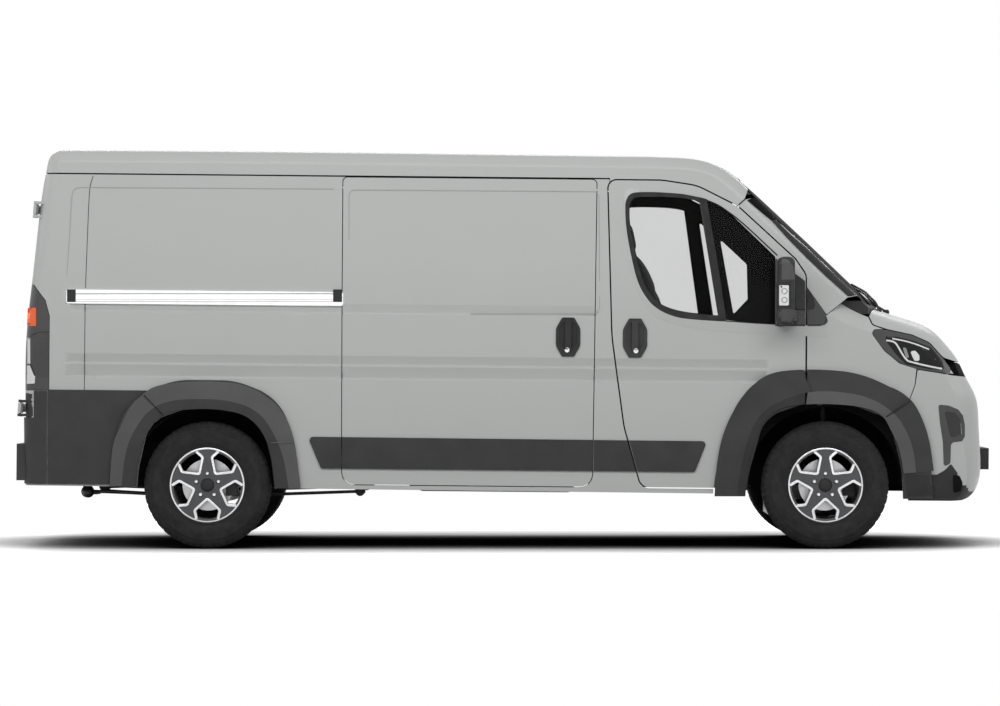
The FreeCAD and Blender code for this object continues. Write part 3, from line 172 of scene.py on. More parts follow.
def smooth_plastic(name, colour, roughness=0.2, specular=0.4, coat=0.15):
    shader = Shader(name, colour, roughness, Coat_Weight=coat, Coat_Roughness=0.08,
                    Specular_IOR_Level=specular)
    shader.roughness(shader.noise(18.0, 5.0), roughness, roughness + 0.08)
    shader.bump(shader.noise(300.0, 2.0), 0.05, 0.0002)
    return shader.material


def metal(name, colour, roughness=0.25, brushed=None, metallic=1.0):
    shader = Shader(name, colour, roughness, metallic)
    grain = shader.noise(160.0, 6.0, brushed or (1.0, 1.0, 1.0))
    shader.roughness(grain, roughness - 0.05, roughness + 0.1)
    shader.tint(shader.noise(12.0, 5.0), tuple(0.88 * c for c in colour), colour)
    shader.bump(grain, 0.08, 0.0004)
    return shader.material


def rubber(name, colour):
    shader = Shader(name, colour, 0.78, Specular_IOR_Level=0.25)
    shader.tint(shader.noise(14.0, 7.0), colour, tuple(1.5 * c + 0.006 for c in colour))
    shader.roughness(shader.noise(30.0, 6.0), 0.68, 0.86)
    shader.bump(shader.noise(340.0, 5.0), 0.25, 0.0006)
    return shader.material


def glass(name, colour, shine=1.0):
    """Thin safety glass: mostly see-through, with a sharp reflection."""
    shader = Shader(name, colour, 0.0, IOR=1.45, Transmission_Weight=1.0)
    through = shader.nodes.new("ShaderNodeBsdfTransparent")
    through.inputs["Color"].default_value = (*colour, 1.0)
    gloss = shader.nodes.new("ShaderNodeBsdfGlossy")
    gloss.inputs["Roughness"].default_value = 0.02
    gloss.inputs["Color"].default_value = (shine, shine, shine, 1.0)
    fresnel = shader.nodes.new("ShaderNodeFresnel")
    fresnel.inputs["IOR"].default_value = 1.22
    mix = shader.nodes.new("ShaderNodeMixShader")
    out = shader.nodes["Material Output"]
    shader.links.new(fresnel.outputs["Fac"], mix.inputs["Fac"])
    shader.links.new(through.outputs["BSDF"], mix.inputs[1])
    shader.links.new(gloss.outputs["BSDF"], mix.inputs[2])
    shader.links.new(mix.outputs["Shader"], out.inputs["Surface"])
    return shader.material


def fabric(name, colour):
    shader = Shader(name, colour, 0.9, Sheen_Weight=0.25, Sheen_Roughness=0.5)
    weave = shader.waves(260.0, (1.0, 1.0, 1.0), "DIAGONAL")
    shader.tint(shader.noise(40.0, 6.0), colour, tuple(1.6 * c for c in colour))
    shader.bump(weave, 0.5, 0.0008)
    shader.bump(shader.noise(500.0, 4.0), 0.4, 0.0006)
    return shader.material


PAINT = paint("paint_light_grey", (0.535, 0.548, 0.538))
PLASTIC = grained("grained_plastic", (0.026, 0.026, 0.0265), 0.6)
PLASTIC_DARK = grained("grained_plastic_dark", (0.012, 0.012, 0.0125), 0.62)
PLASTIC_MID = grained("grained_plastic_mid", (0.055, 0.055, 0.056), 0.5)
GLOSS_BLACK = smooth_plastic("gloss_black", (0.006, 0.006, 0.0065), 0.5)
SEAL = rubber("seal_rubber", (0.006, 0.006, 0.006))
SEAL_GREY = rubber("seal_grey", (0.020, 0.020, 0.0205))
SEAM = rubber("seam_shadow", (0.060, 0.061, 0.060))
TYRE = rubber("tyre_rubber", (0.011, 0.011, 0.0112))
GLASS = glass("door_glass", (0.895, 0.898, 0.896), 0.35)
SCREEN = glass("screen_glass", (0.30, 0.305, 0.30), 0.10)
RIM_DARK = metal("rim_dark", (0.060, 0.061, 0.064), 0.36, metallic=0.5)
RIM_BRIGHT = metal("rim_machined", (0.60, 0.60, 0.61), 0.28)
BRIGHT = metal("bright_metal", (0.66, 0.66, 0.67), 0.24)
KEY_METAL = metal("key_metal", (0.86, 0.86, 0.86), 0.22)
RAIL = metal("rail_aluminium", (0.86, 0.86, 0.865), 0.28, (0.02, 1.0, 1.0))
RAIL_GREY = metal("rail_groove", (0.42, 0.42, 0.43), 0.35)
DISC = metal("brake_steel", (0.50, 0.50, 0.51), 0.36, (1.0, 1.0, 1.0))
CHASSIS = smooth_plastic("chassis_black", (0.008, 0.008, 0.008), 0.5)
UNDERBODY = smooth_plastic("underbody", (0.012, 0.012, 0.0125), 0.6)
# Near-black plastic: the real arch liners, and the same black laid on inner faces and plates
# where it stands for painted shade.
ARCH_LINER_AND_SHADE = grained("arch_liner_and_shade", (0.004, 0.004, 0.004), 0.9, 60.0, 0.002, 0.1)
STEEL_DARK = metal("dark_steel", (0.016, 0.016, 0.0155), 0.6, metallic=0.4)
CAST = metal("cast_alloy", (0.30, 0.30, 0.30), 0.5)
EXHAUST = metal("exhaust_steel", (0.040, 0.039, 0.038), 0.55)
FABRIC = fabric("seat_cloth", (0.012, 0.012, 0.0125))
CABIN = grained("cabin_plastic", (0.012, 0.012, 0.0125), 0.65)
# Near-black cab trim, also laid over the cab's inner faces and door frames as painted shade.
CABIN_TRIM_AND_SHADE = grained("cabin_trim_and_shade", (0.0035, 0.0035, 0.0035), 0.9, specular=0.1)
LINING = grained("lining_board", (0.19, 0.19, 0.185), 0.7, 200.0)
TANK = grained("tank_plastic", (0.016, 0.016, 0.016), 0.5)
AMBER = smooth_plastic("lamp_amber", (0.98, 0.145, 0.022), 0.2)
CLEAR = smooth_plastic("lamp_clear", (0.80, 0.81, 0.82), 0.1)
LAMP_WHITE = smooth_plastic("lamp_white", (0.86, 0.87, 0.88), 0.15)
LAMP_GREY = smooth_plastic("lamp_grey", (0.30, 0.305, 0.31), 0.2)
LENS_DARK = smooth_plastic("lens_dark", (0.002, 0.002, 0.0022), 0.2, 0.25, 0.05)
SMOKED = smooth_plastic("lamp_smoked", (0.050, 0.050, 0.052), 0.3)
# A lighter copy of the black plastic, standing for its lit faces and highlights: painted light.
PLASTIC_LIT = grained("grained_plastic_lit", (0.072, 0.072, 0.073), 0.5)
# A still lighter copy of the black plastic for bright edges: painted highlight.
PLASTIC_HIGHLIGHT = grained("plastic_highlight", (0.11, 0.11, 0.11), 0.5)
PAINT_SHADE = paint("paint_in_shade", (0.40, 0.41, 0.402))

NODE_MATERIALS = {
    PAINT: ["roof", "side_right", "side_left", "sliding_door", "wings", "front_bumper", "bonnet",
            "front_door_right", "front_door_left", "rear_door_right", "rear_door_left"],
    PLASTIC: ["arch_flares", "side_cladding", "rear_bumper", "door_trim_right",
              "door_trim_left", "bumper_trim"],
    PLASTIC_DARK: ["cowl", "sliding_door_handle"],
    GLOSS_BLACK: ["grille"],
    SMOKED: ["headlamps", "tail_lamps"],
    RAIL: ["slide_rail"],
    GLASS: ["door_glass_right", "door_glass_left"],
    SCREEN: ["windscreen"],
    UNDERBODY: ["floor"],
    ARCH_LINER_AND_SHADE: ["wheel_housings"],
    LINING: ["bulkhead"],
    FABRIC: ["seats"],
    CABIN: ["dashboard", "steering_wheel"],
    CHASSIS: ["subframe", "rear_axle"],
    STEEL_DARK: ["leaf_springs", "dampers", "knuckle_right", "knuckle_left"],
    CAST: ["engine_block"],
    TANK: ["fuel_tank"],
    EXHAUST: ["exhaust"],
    TYRE: [f"tyre_{e}_{s}" for e in ("front", "rear") for s in ("right", "left")],
    RIM_DARK: [f"rim_{e}_{s}" for e in ("front", "rear") for s in ("right", "left")],
    DISC: [f"brake_disc_{e}_{s}" for e in ("front", "rear") for s in ("right", "left")],
}
for material, names in NODE_MATERIALS.items():
    for name in names:
        NODES[name].data.materials.clear()
        NODES[name].data.materials.append(material)


# Mesh making
SCALE = 1000.0
EYE = Vector((0.068, -27.0, 1.093))
PIXELS = 4665.0
CENTRE_PX, CENTRE_PY = 521.0, 353.0


def link(name, mesh, materials, body, angle=30.0):
    """A finished piece: its materials, smooth faces with sharp edges kept, and its body."""
    for material in materials:
        mesh.materials.append(material)
    mesh.polygons.foreach_set("use_smooth", [True] * len(mesh.polygons))
    mesh.set_sharp_from_angle(angle=math.radians(angle))
    piece = bpy.data.objects.new(name, mesh)
    bpy.context.scene.collection.objects.link(piece)
    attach(piece, body)
    return piece


def from_bmesh(name, bm, materials, body, angle=30.0):
    bmesh.ops.remove_doubles(bm, verts=bm.verts, dist=1e-6)
    bmesh.ops.recalc_face_normals(bm, faces=bm.faces)
    mesh = bpy.data.meshes.new(name)
    bm.to_mesh(mesh)
    bm.free()
    return link(name, mesh, materials, body, angle)


def bevelled(piece, width, segments=2, angle=35.0):
    modifier = piece.modifiers.new("edges", "BEVEL")
    modifier.width = width
    modifier.segments = segments
    modifier.limit_method = "ANGLE"
    modifier.angle_limit = math.radians(angle)
    return piece


def rounded(corners, steps=5):
    """A closed outline through corners (a, b, radius), its arcs in short runs."""
    points = []
    for index, corner in enumerate(corners):
        here = Vector(corner[:2])
        radius = corner[2] if len(corner) > 2 else 0.0
        if not radius:
            points.append(here)
            continue
        before = (Vector(corners[index - 1][:2]) - here).normalized()
        after = (Vector(corners[(index + 1) % len(corners)][:2]) - here).normalized()
        half = before.angle(after) / 2
        centre = here + (before + after).normalized() * radius / math.sin(half)
        start = here + before * radius / math.tan(half)
        end = here + after * radius / math.tan(half)
        turn = (start - centre).angle_signed(end - centre)
        for step in range(steps + 1):
            spoke = (start - centre).copy()
            spoke.rotate(Matrix.Rotation(-turn * step / steps, 2))
            points.append(centre + spoke)
    return points


def offset(points, distance):
    """The closed outline moved outwards, or inwards where distance is negative."""
    area = sum(a.x * b.y - b.x * a.y for a, b in zip(points, points[1:] + points[:1]))
    sign = 1.0 if area > 0 else -1.0
    moved = []
    for index, here in enumerate(points):
        along = points[(index + 1) % len(points)] - points[index - 1]
        normal = Vector((along.y, -along.x)).normalized() * sign
        moved.append(here + normal * distance)
    return moved


def revolve(bm, profile, segments, centre=(0, 0, 0), notch=None, material=0):
    """Turns a profile of (radius, y) points round the Y axis; notch may change a radius."""
    rings = []
    for step in range(segments):
        angle = 2 * math.pi * step / segments
        ring = []
        for radius, y in profile:
            r = radius - (notch(step, radius, y) if notch else 0.0)
            ring.append(bm.verts.new((centre[0] + r * math.cos(angle), centre[1] + y,
                                      centre[2] + r * math.sin(angle))))
        rings.append(ring)
    for step in range(segments):
        here, following = rings[step], rings[(step + 1) % segments]
        for i in range(len(profile) - 1):
            face = bm.faces.new((here[i], here[i + 1], following[i + 1], following[i]))
            face.material_index = material


def flat_plate(outline, holes, thickness, bevel, cell=0.012):
    """A flat plate in the XZ plane as a mesh with small faces, so that it can be dished."""
    curve = bpy.data.curves.new("plate", "CURVE")
    curve.dimensions = "2D"
    curve.fill_mode = "BOTH"
    curve.extrude = thickness / 2 - bevel
    curve.bevel_depth = bevel
    curve.bevel_resolution = 1
    for points in [outline] + holes:
        line = curve.splines.new("POLY")
        line.points.add(len(points) - 1)
        for place, point in zip(line.points, points):
            place.co = (point.x, point.y, 0.0, 1.0)
        line.use_cyclic_u = True
    holder = bpy.data.objects.new("plate", curve)
    bpy.context.scene.collection.objects.link(holder)
    bpy.context.view_layer.update()
    mesh = bpy.data.meshes.new_from_object(holder.evaluated_get(
        bpy.context.evaluated_depsgraph_get()))
    bpy.data.objects.remove(holder)
    bm = bmesh.new()
    bm.from_mesh(mesh)
    bmesh.ops.transform(bm, matrix=Matrix.Rotation(math.radians(90), 4, "X"), verts=bm.verts)
    xs = [p.x for p in outline]
    zs = [p.y for p in outline]
    for axis, low, high in ((0, min(xs), max(xs)), (2, min(zs), max(zs))):
        for step in range(1, int((high - low) / cell)):
            place, normal = [0.0] * 3, [0.0] * 3
            place[axis], normal[axis] = low + step * cell, 1.0
            bmesh.ops.bisect_plane(bm, geom=bm.verts[:] + bm.edges[:] + bm.faces[:],
                                   plane_co=place, plane_no=normal)
    return bm


def tree_of(*names):
    """What lines of sight meet: the CAD nodes named."""
    verts, faces = [], []
    for name in names:
        mesh = NODES[name].data
        base = len(verts)
        verts += [v.co.copy() for v in mesh.vertices]
        faces += [[base + i for i in p.vertices] for p in mesh.polygons]
    return BVHTree.FromPolygons(verts, faces)


def sight(px, py):
    """The line of sight through a pixel of the photograph's frame."""
    return Vector(((px - CENTRE_PX) / PIXELS, 1.0, (CENTRE_PY - py) / PIXELS)).normalized()


def tube(name, points, radius, material, body, smooth=True):
    """A round bar along points in metres."""
    curve = bpy.data.curves.new(name, "CURVE")
    curve.dimensions = "3D"
    curve.bevel_depth = radius
    curve.bevel_resolution = 3
    line = curve.splines.new("NURBS" if smooth else "POLY")
    line.points.add(len(points) - 1)
    for place, point in zip(line.points, points):
        place.co = (*point, 1.0)
    if smooth:
        line.order_u = 3
        line.use_endpoint_u = True
    curve.use_fill_caps = True
    holder = bpy.data.objects.new(name, curve)
    bpy.context.scene.collection.objects.link(holder)
    bpy.context.view_layer.update()
    mesh = bpy.data.meshes.new_from_object(holder.evaluated_get(
        bpy.context.evaluated_depsgraph_get()))
    bpy.data.objects.remove(holder)
    bpy.data.curves.remove(curve)
    mesh.materials.clear()
    return link(name, mesh, [material], body, 40.0)


# Wheels


def tyre_profile(half):
    """From the outer bead over the tread to the inner bead: (radius, y), outer side first."""
    side = [(0.2035, half - 0.030), (0.2105, half - 0.020), (0.2190, half - 0.0145),
            (0.2230, half - 0.0160), (0.2270, half - 0.0125), (0.2450, half - 0.0060),
            (0.2640, half - 0.0015), (0.2830, half), (0.3000, half - 0.0025),
            (0.3020, half - 0.0018), (0.3040, half - 0.0032), (0.3060, half - 0.0025),
            (0.3080, half - 0.0042), (0.3210, half - 0.0085), (0.3230, half - 0.0070),
            (0.3330, half - 0.0120), (0.3440, half - 0.0200), (0.3500, half - 0.0300)]
    tread = [(0.3528, half - 0.040), (0.3532, half - 0.0475), (0.3460, half - 0.0490),
             (0.3460, half - 0.0560), (0.3535, half - 0.0575), (0.3552, half - 0.0780),
             (0.3470, half - 0.0795), (0.3470, half - 0.0875), (0.3555, half - 0.0890)]
    outer = side + tread
    whole = [(r, -y) for r, y in outer] + [(r, y) for r, y in reversed(outer)]
    return whole


def tread_notch(step, radius, y):
    """Sipes across the shoulders and blocks, cut into the tread at every fourth step."""
    if radius < 0.331:
        return 0.0
    if abs(y) > 0.066 and step % 4 == 0:
        return 0.0052
    if radius > 0.349 and (step + (2 if y > 0 else 0)) % 6 == 0:
        return 0.0040
    return 0.0


def window(radial, across, angle):
    """A point of the wheel's face given along and across a spoke gap's middle line."""
    return Vector((radial * math.cos(angle) - across * math.sin(angle),
                   radial * math.sin(angle) + across * math.cos(angle)))


def dish(radius):
    """How far the wheel's face lies behind its lip."""
    share = min(radius / 0.200, 1.0)
    return 0.0085 + 0.013 * (1 - share) ** 0.8


def wheel_parts():
    """Shared meshes of the wheel, made for the right side at the origin, outer face at -Y."""
    parts = {}
    gaps = [math.radians(54 + 72 * k) for k in range(5)]
    opening = rounded([(0.083, 0.0, 0.010), (0.141, 0.063, 0.012), (0.183, 0.053, 0.008),
                       (0.1905, 0.020), (0.1905, -0.020), (0.183, -0.053, 0.008),
                       (0.141, -0.063, 0.012)], 4)
    holes = [[window(p.x, p.y, angle) for p in opening] for angle in gaps]
    circle = [Vector((0.2015 * math.cos(a), 0.2015 * math.sin(a)))
              for a in [2 * math.pi * k / 90 for k in range(90)]]
    bm = flat_plate(circle, holes, 0.016, 0.0022, 0.0125)
    for vert in bm.verts:
        vert.co.y += dish(math.hypot(vert.co.x, vert.co.z)) + 0.008
    parts["face"] = (bm, [RIM_DARK])
    bands = bmesh.new()
    for angle in gaps:
        path = rounded([(0.190, -0.066), (0.140, -0.0775, 0.018), (0.069, 0.0, 0.014),
                        (0.140, 0.0775, 0.018), (0.190, 0.066), (0.186, 0.0545),
                        (0.142, 0.0645, 0.010), (0.0830, 0.0, 0.010), (0.142, -0.0645, 0.010),
                        (0.186, -0.0545)], 4)
        strip = flat_plate([window(p.x, p.y, angle) for p in path], [], 0.004, 0.0012, 0.0125)
        for vert in strip.verts:
            vert.co.y += dish(math.hypot(vert.co.x, vert.co.z)) - 0.0008
        mesh = bpy.data.meshes.new("strip")
        strip.to_mesh(mesh)
        strip.free()
        bands.from_mesh(mesh)
    parts["bands"] = (bands, [RIM_BRIGHT])
    rim = bmesh.new()
    revolve(rim, [(0.1985, 0.0105), (0.1990, 0.0030), (0.2005, 0.0004), (0.2050, 0.0),
                  (0.2082, 0.0012), (0.2090, 0.0045), (0.2070, 0.0090)], 120, material=1)
    revolve(rim, [(0.1985, 0.0105), (0.1950, 0.020), (0.1900, 0.030), (0.1880, 0.060),
                  (0.1860, 0.150), (0.1900, 0.165), (0.2030, 0.172), (0.2050, 0.168),
                  (0.1925, 0.160), (0.1895, 0.060), (0.1960, 0.026), (0.2030, 0.012)], 96)
    parts["barrel"] = (rim, [RIM_DARK, RIM_BRIGHT])
    bolts = bmesh.new()
    for k in range(5):
        angle = math.radians(90 + 72 * k)
        centre = (0.065 * math.cos(angle), dish(0.065) - 0.0005, 0.065 * math.sin(angle))
        revolve(bolts, [(0.0001, -0.0100), (0.0070, -0.0096), (0.0098, -0.0070),
                        (0.0106, -0.0030), (0.0110, 0.0004)], 18, centre, material=0)
        revolve(bolts, [(0.0110, 0.0002), (0.0128, -0.0012), (0.0142, -0.0002),
                        (0.0146, 0.0016)], 24, centre, material=1)
    parts["bolts"] = (bolts, [BRIGHT, RIM_DARK])
    cap = bmesh.new()
    y = dish(0.03)
    revolve(cap, [(0.0001, y - 0.0135), (0.0150, y - 0.0130), (0.0290, y - 0.0110),
                  (0.0320, y - 0.0092), (0.0330, y - 0.0112), (0.0370, y - 0.0090),
                  (0.0385, y + 0.0020)], 60)
    parts["cap"] = (cap, [PLASTIC_DARK])
    return parts


def wheels():
    meshes = {}
    for part, (bm, materials) in wheel_parts().items():
        bmesh.ops.remove_doubles(bm, verts=bm.verts, dist=1e-6)
        bmesh.ops.recalc_face_normals(bm, faces=bm.faces)
        mesh = bpy.data.meshes.new("wheel_" + part)
        bm.to_mesh(mesh)
        bm.free()
        for material in materials:
            mesh.materials.append(material)
        mesh.polygons.foreach_set("use_smooth", [True] * len(mesh.polygons))
        mesh.set_sharp_from_angle(angle=math.radians(32))
        meshes[part] = mesh
    tyre = bmesh.new()
    low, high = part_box("tyre_front_right")
    half = (high.y - low.y) / 2
    revolve(tyre, tyre_profile(half), 240, notch=tread_notch)
    bmesh.ops.recalc_face_normals(tyre, faces=tyre.faces)
    mesh = bpy.data.meshes.new("wheel_tyre")
    tyre.to_mesh(mesh)
    tyre.free()
    mesh.materials.append(TYRE)
    mesh.polygons.foreach_set("use_smooth", [True] * len(mesh.polygons))
    mesh.set_sharp_from_angle(angle=math.radians(34))
    meshes["tyre"] = mesh
    for end, x in (("front", FRONT_AXLE), ("rear", REAR_AXLE)):
        for side, word in SIDES.items():
            body = f"wheel_{end}_{word}"
            low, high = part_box(f"tyre_{end}_{word}")
            middle = (low.y + high.y) / 2
            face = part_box(f"rim_{end}_{word}")
            outer = face[0].y if side == RIGHT else face[1].y
            for part, mesh in meshes.items():
                piece = bpy.data.objects.new(f"{part}_{end}_{word}_detail", mesh)
                bpy.context.scene.collection.objects.link(piece)
                y = middle if part == "tyre" else outer
                turn = 0.0 if side == RIGHT else math.pi
                piece.matrix_world = (Matrix.Translation((x / SCALE, y, AXLE_HEIGHT / SCALE))
                                      @ Matrix.Rotation(turn, 4, "Z"))
                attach(piece, body)
                if part == "tyre":
                    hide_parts(f"tyre_{end}_{word}")
                elif part == "face":
                    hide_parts(f"rim_{end}_{word}")


wheels()


# Surfaces that thin pieces are laid on
SIDE_LEAN = [(250, 40), (430, 23), (620, 7), (800, 0), (937, 0), (1100, 5), (1305, 15),
             (1600, 40), (1850, 72), (2000, 90), (2200, 116), (2330, 131)]
HALF_WIDTH = 1025.0
TAPER_START = FRONT_AXLE - 1270.0


def side_y(x, z):
    """How far out the bodyside stands, in metres, at a world place in metres."""
    level_x = (x * math.cos(RAKE) - z * math.sin(RAKE)) * SCALE
    level_z = (z * math.cos(RAKE) + x * math.sin(RAKE)) * SCALE
    lean = np.interp(level_z, [p[0] for p in SIDE_LEAN], [p[1] for p in SIDE_LEAN])
    return (HALF_WIDTH - lean - 1.5e-5 * max(0.0, level_x - TAPER_START) ** 2) / SCALE


def skin(inset):
    """The bodyside's own surface, or one so far inside it, met by a line of sight."""
    def meet(px, py):
        ray = sight(px, py)
        y = -1.0
        for _ in range(4):
            place = EYE + ray * ((y - EYE.y) / ray.y)
            y = inset - side_y(place.x, place.z)
        return EYE, ray, (y - EYE.y) / ray.y
    return meet


def by_sight(*names):
    """The named nodes as the camera's lines of sight meet them."""
    tree = tree_of(*names)

    def meet(px, py):
        ray = sight(px, py)
        return EYE, ray, tree.ray_cast(EYE, ray)[3]
    return meet


def along(axis, sign, *names):
    """The named nodes met straight along an axis; outlines are in metres on the other two."""
    tree = tree_of(*names)
    index = "xyz".index(axis)
    ray = Vector((0, 0, 0))
    ray[index] = sign

    def meet(a, b):
        start = Vector((a, b))
        start = Vector([*start[:index], -5.0 * sign, *start[index:]])
        return start, ray, tree.ray_cast(start, ray)[3]
    return meet


def sheet_of(outline, holes, cell):
    """Flat faces inside an outline (x, z) and outside its holes, cut into small cells."""
    bm = flat_faces(outline, holes)
    xs, zs = [p[0] for p in outline], [p[1] for p in outline]
    for axis, low, high in ((0, min(xs), max(xs)), (2, min(zs), max(zs))):
        for step in range(1, int((high - low) / cell) + 1):
            place, normal = [0.0] * 3, [0.0] * 3
            place[axis], normal[axis] = low + step * cell, 1.0
            bmesh.ops.bisect_plane(bm, geom=bm.verts[:] + bm.edges[:] + bm.faces[:],
                                   plane_co=place, plane_no=normal)
    bmesh.ops.triangulate(bm, faces=[f for f in bm.faces if len(f.verts) > 4])
    return bm


def flat_faces(outline, holes):
    curve = bpy.data.curves.new("sheet", "CURVE")
    curve.dimensions = "2D"
    curve.fill_mode = "BOTH"
    for points in [outline] + list(holes):
        line = curve.splines.new("POLY")
        line.points.add(len(points) - 1)
        for place, point in zip(line.points, points):
            place.co = (point[0], point[1], 0.0, 1.0)
        line.use_cyclic_u = True
    holder = bpy.data.objects.new("sheet", curve)
    bpy.context.scene.collection.objects.link(holder)
    bpy.context.view_layer.update()
    mesh = bpy.data.meshes.new_from_object(holder.evaluated_get(
        bpy.context.evaluated_depsgraph_get()))
    bpy.data.objects.remove(holder)
    bpy.data.curves.remove(curve)
    bm = bmesh.new()
    bm.from_mesh(mesh)
    bpy.data.meshes.remove(mesh)
    bmesh.ops.remove_doubles(bm, verts=bm.verts, dist=1e-5)
    for vert in bm.verts:
        vert.co = Vector((vert.co.x, 0.0, vert.co.y))
    return bm


def laid(name, meet, outlines, material, body=BODY, thickness=0.0012, lift=0.0004, cell=4.0,
         holes=(), bevel=0.0, mirrored=False):
    """Thin pieces laid on what their lines meet, standing proud of it by their thickness."""
    if not isinstance(outlines[0][0], (list, tuple, Vector)):
        outlines = [outlines]
    whole = bmesh.new()
    for outline in outlines:
        bm = sheet_of(outline, holes, cell)
        met = {vert: meet(vert.co.x, vert.co.z) for vert in bm.verts}
        found = [(vert.co.copy(), way[2]) for vert, way in met.items() if way[2] is not None]
        mean = sum((way[1] for way in met.values()), Vector()).normalized()
        for vert, (start, ray, distance) in met.items():
            if distance is None:
                distance = min(found, key=lambda spot: (spot[0] - vert.co).length)[1]
            vert.co = start + ray * (distance - lift)
        made = bmesh.ops.extrude_face_region(bm, geom=bm.faces[:])
        for vert in made["geom"]:
            if isinstance(vert, bmesh.types.BMVert):
                vert.co -= mean * thickness
        part = bpy.data.meshes.new("part")
        bm.to_mesh(part)
        bm.free()
        whole.from_mesh(part)
        bpy.data.meshes.remove(part)
    if mirrored:
        bmesh.ops.scale(whole, vec=(1, -1, 1), verts=whole.verts)
    piece = from_bmesh(name, whole, [material], body, 35.0)
    if bevel:
        bevelled(piece, bevel)
    return piece


def both_laid(name, meet, outline, material, bodies=(BODY, BODY), **options):
    """A thin piece on the right side, and its mirror image on the left."""
    laid(name + "_right", meet, outline, material, bodies[0], **options)
    laid(name + "_left", meet, outline, material, bodies[1], mirrored=True, **options)


def circle_at(a, b, radius, steps=20):
    return [(a + radius * math.cos(2 * math.pi * k / steps),
             b + radius * math.sin(2 * math.pi * k / steps)) for k in range(steps)]


DOORS = ("front_door_right", "front_door_left")


def line(points, width):
    """The outline of a line of even width through points."""
    left, right = [], []
    for index, here in enumerate(points):
        here = Vector(here)
        before = Vector(points[max(index - 1, 0)])
        after = Vector(points[min(index + 1, len(points) - 1)])
        way = (after - before).normalized()
        side = Vector((-way.y, way.x)) * width / 2
        left.append(here + side)
        right.append(here - side)
    return left + right[::-1]


def curve_through(points, steps=6):
    """A smooth line through points."""
    points = [Vector(p) for p in points]
    ends = [points[0] * 2 - points[1]] + points + [points[-1] * 2 - points[-2]]
    made = []
    for i in range(1, len(ends) - 2):
        a, b, c, d = ends[i - 1:i + 3]
        for step in range(steps):
            t = step / steps
            made.append(0.5 * (2 * b + (c - a) * t + (2 * a - 5 * b + 4 * c - d) * t * t
                               + (3 * b - a - 3 * c + d) * t ** 3))
    return made + [points[-1]]


# Door windows
SEAL_OUT = [(701.5, 197.6), (682.1, 194.0), (658.7, 192.2), (638.0, 192.2), (630.6, 194.0),
            (626.7, 199.0), (625.3, 207.0), (626.1, 225.7), (629.3, 246.3), (633.0, 263.9),
            (635.9, 275.6), (640.3, 287.4), (645.5, 296.2), (651.3, 303.5), (658.7, 309.4),
            (668.9, 314.5), (682.1, 318.2), (702.7, 320.2), (719.0, 321.0)]
SEAL_IN = [(701.2, 201.3), (682.1, 198.0), (658.7, 196.8), (639.0, 197.1), (633.4, 198.8),
           (630.6, 202.6), (629.3, 208.4), (629.6, 222.0), (632.5, 238.0), (635.9, 254.0),
           (639.2, 267.0), (642.9, 280.0), (648.6, 291.6), (654.5, 298.9), (663.1, 305.5),
           (676.3, 310.3), (690.9, 313.0), (702.7, 314.5), (718.0, 315.4)]
POST = [(700.9, 197.4), (706.6, 199.0), (711.6, 226.0), (718.6, 268.0), (726.6, 321.2),
        (718.8, 321.0), (712.0, 272.0), (705.4, 228.0)]


def window_seals():
    """The grey seal round the sliding pane and the post before the fixed quarter light."""
    ring = curve_through(SEAL_OUT, 3) + curve_through(SEAL_IN, 3)[::-1]
    both_laid("window_seal", skin(-0.002), ring, SEAL_GREY, DOORS, thickness=0.0025,
              bevel=0.0012, cell=6.0)
    both_laid("window_post", skin(0.001), POST, SEAL_GREY, DOORS, thickness=0.004,
              bevel=0.0012, cell=6.0)
    lip = line(curve_through([(706.5, 200.0), (717.4, 204.6), (727.6, 211.2), (740.8, 221.4),
                              (755.5, 234.7), (767.2, 245.7), (777.5, 255.3)], 4), 1.2)
    both_laid("quarter_lip", skin(-0.001), lip, SEAL, DOORS, thickness=0.002, cell=6.0)
    foot = line([(726.4, 321.3), (775.5, 324.6)], 1.3)
    both_laid("quarter_foot", skin(-0.001), foot, SEAL, DOORS, thickness=0.002, cell=6.0)


def window_frames():
    """The black inner frame of each front door, seen through the glass, with its lights; its
    near-black is partly real trim and partly painted shade of the dark cab.
    """
    outer = [(625.0, 190.0), (706.0, 196.0), (730.0, 209.0), (757.0, 232.0), (782.0, 256.0),
             (782.0, 330.0), (722.0, 326.0), (665.0, 318.0), (643.0, 300.0), (630.0, 262.0)]
    pane = [p for p in offset([Vector(p) for p in curve_through(SEAL_IN, 3)], -0.4)
            if p.x < 694.0]
    near_pane = [Vector((703.0, 201.4))] + pane + [Vector((718.0, 315.4))]
    near_light = rounded([(720.2, 239.5, 1), (746.8, 264.4, 4), (747.6, 299.2, 2),
                          (733.5, 314.2, 1)], 3)
    far_pane = [Vector((695.4, 201.0))] + pane + [Vector((711.8, 315.0))]
    far_light = rounded([(711.6, 213.5, 1), (735.7, 231.4), (768.0, 261.0, 3),
                         (768.0, 299.0, 2), (745.0, 321.5, 3), (729.0, 321.5, 2)], 3)
    for word, holes, mirrored in (("right", [near_pane, near_light], False),
                                  ("left", [far_pane, far_light], True)):
        laid(f"window_frame_{word}", skin(0.034), outer, CABIN_TRIM_AND_SHADE, f"front_door_{word}",
             thickness=0.004, holes=holes, cell=8.0, mirrored=mirrored)


# Mirrors


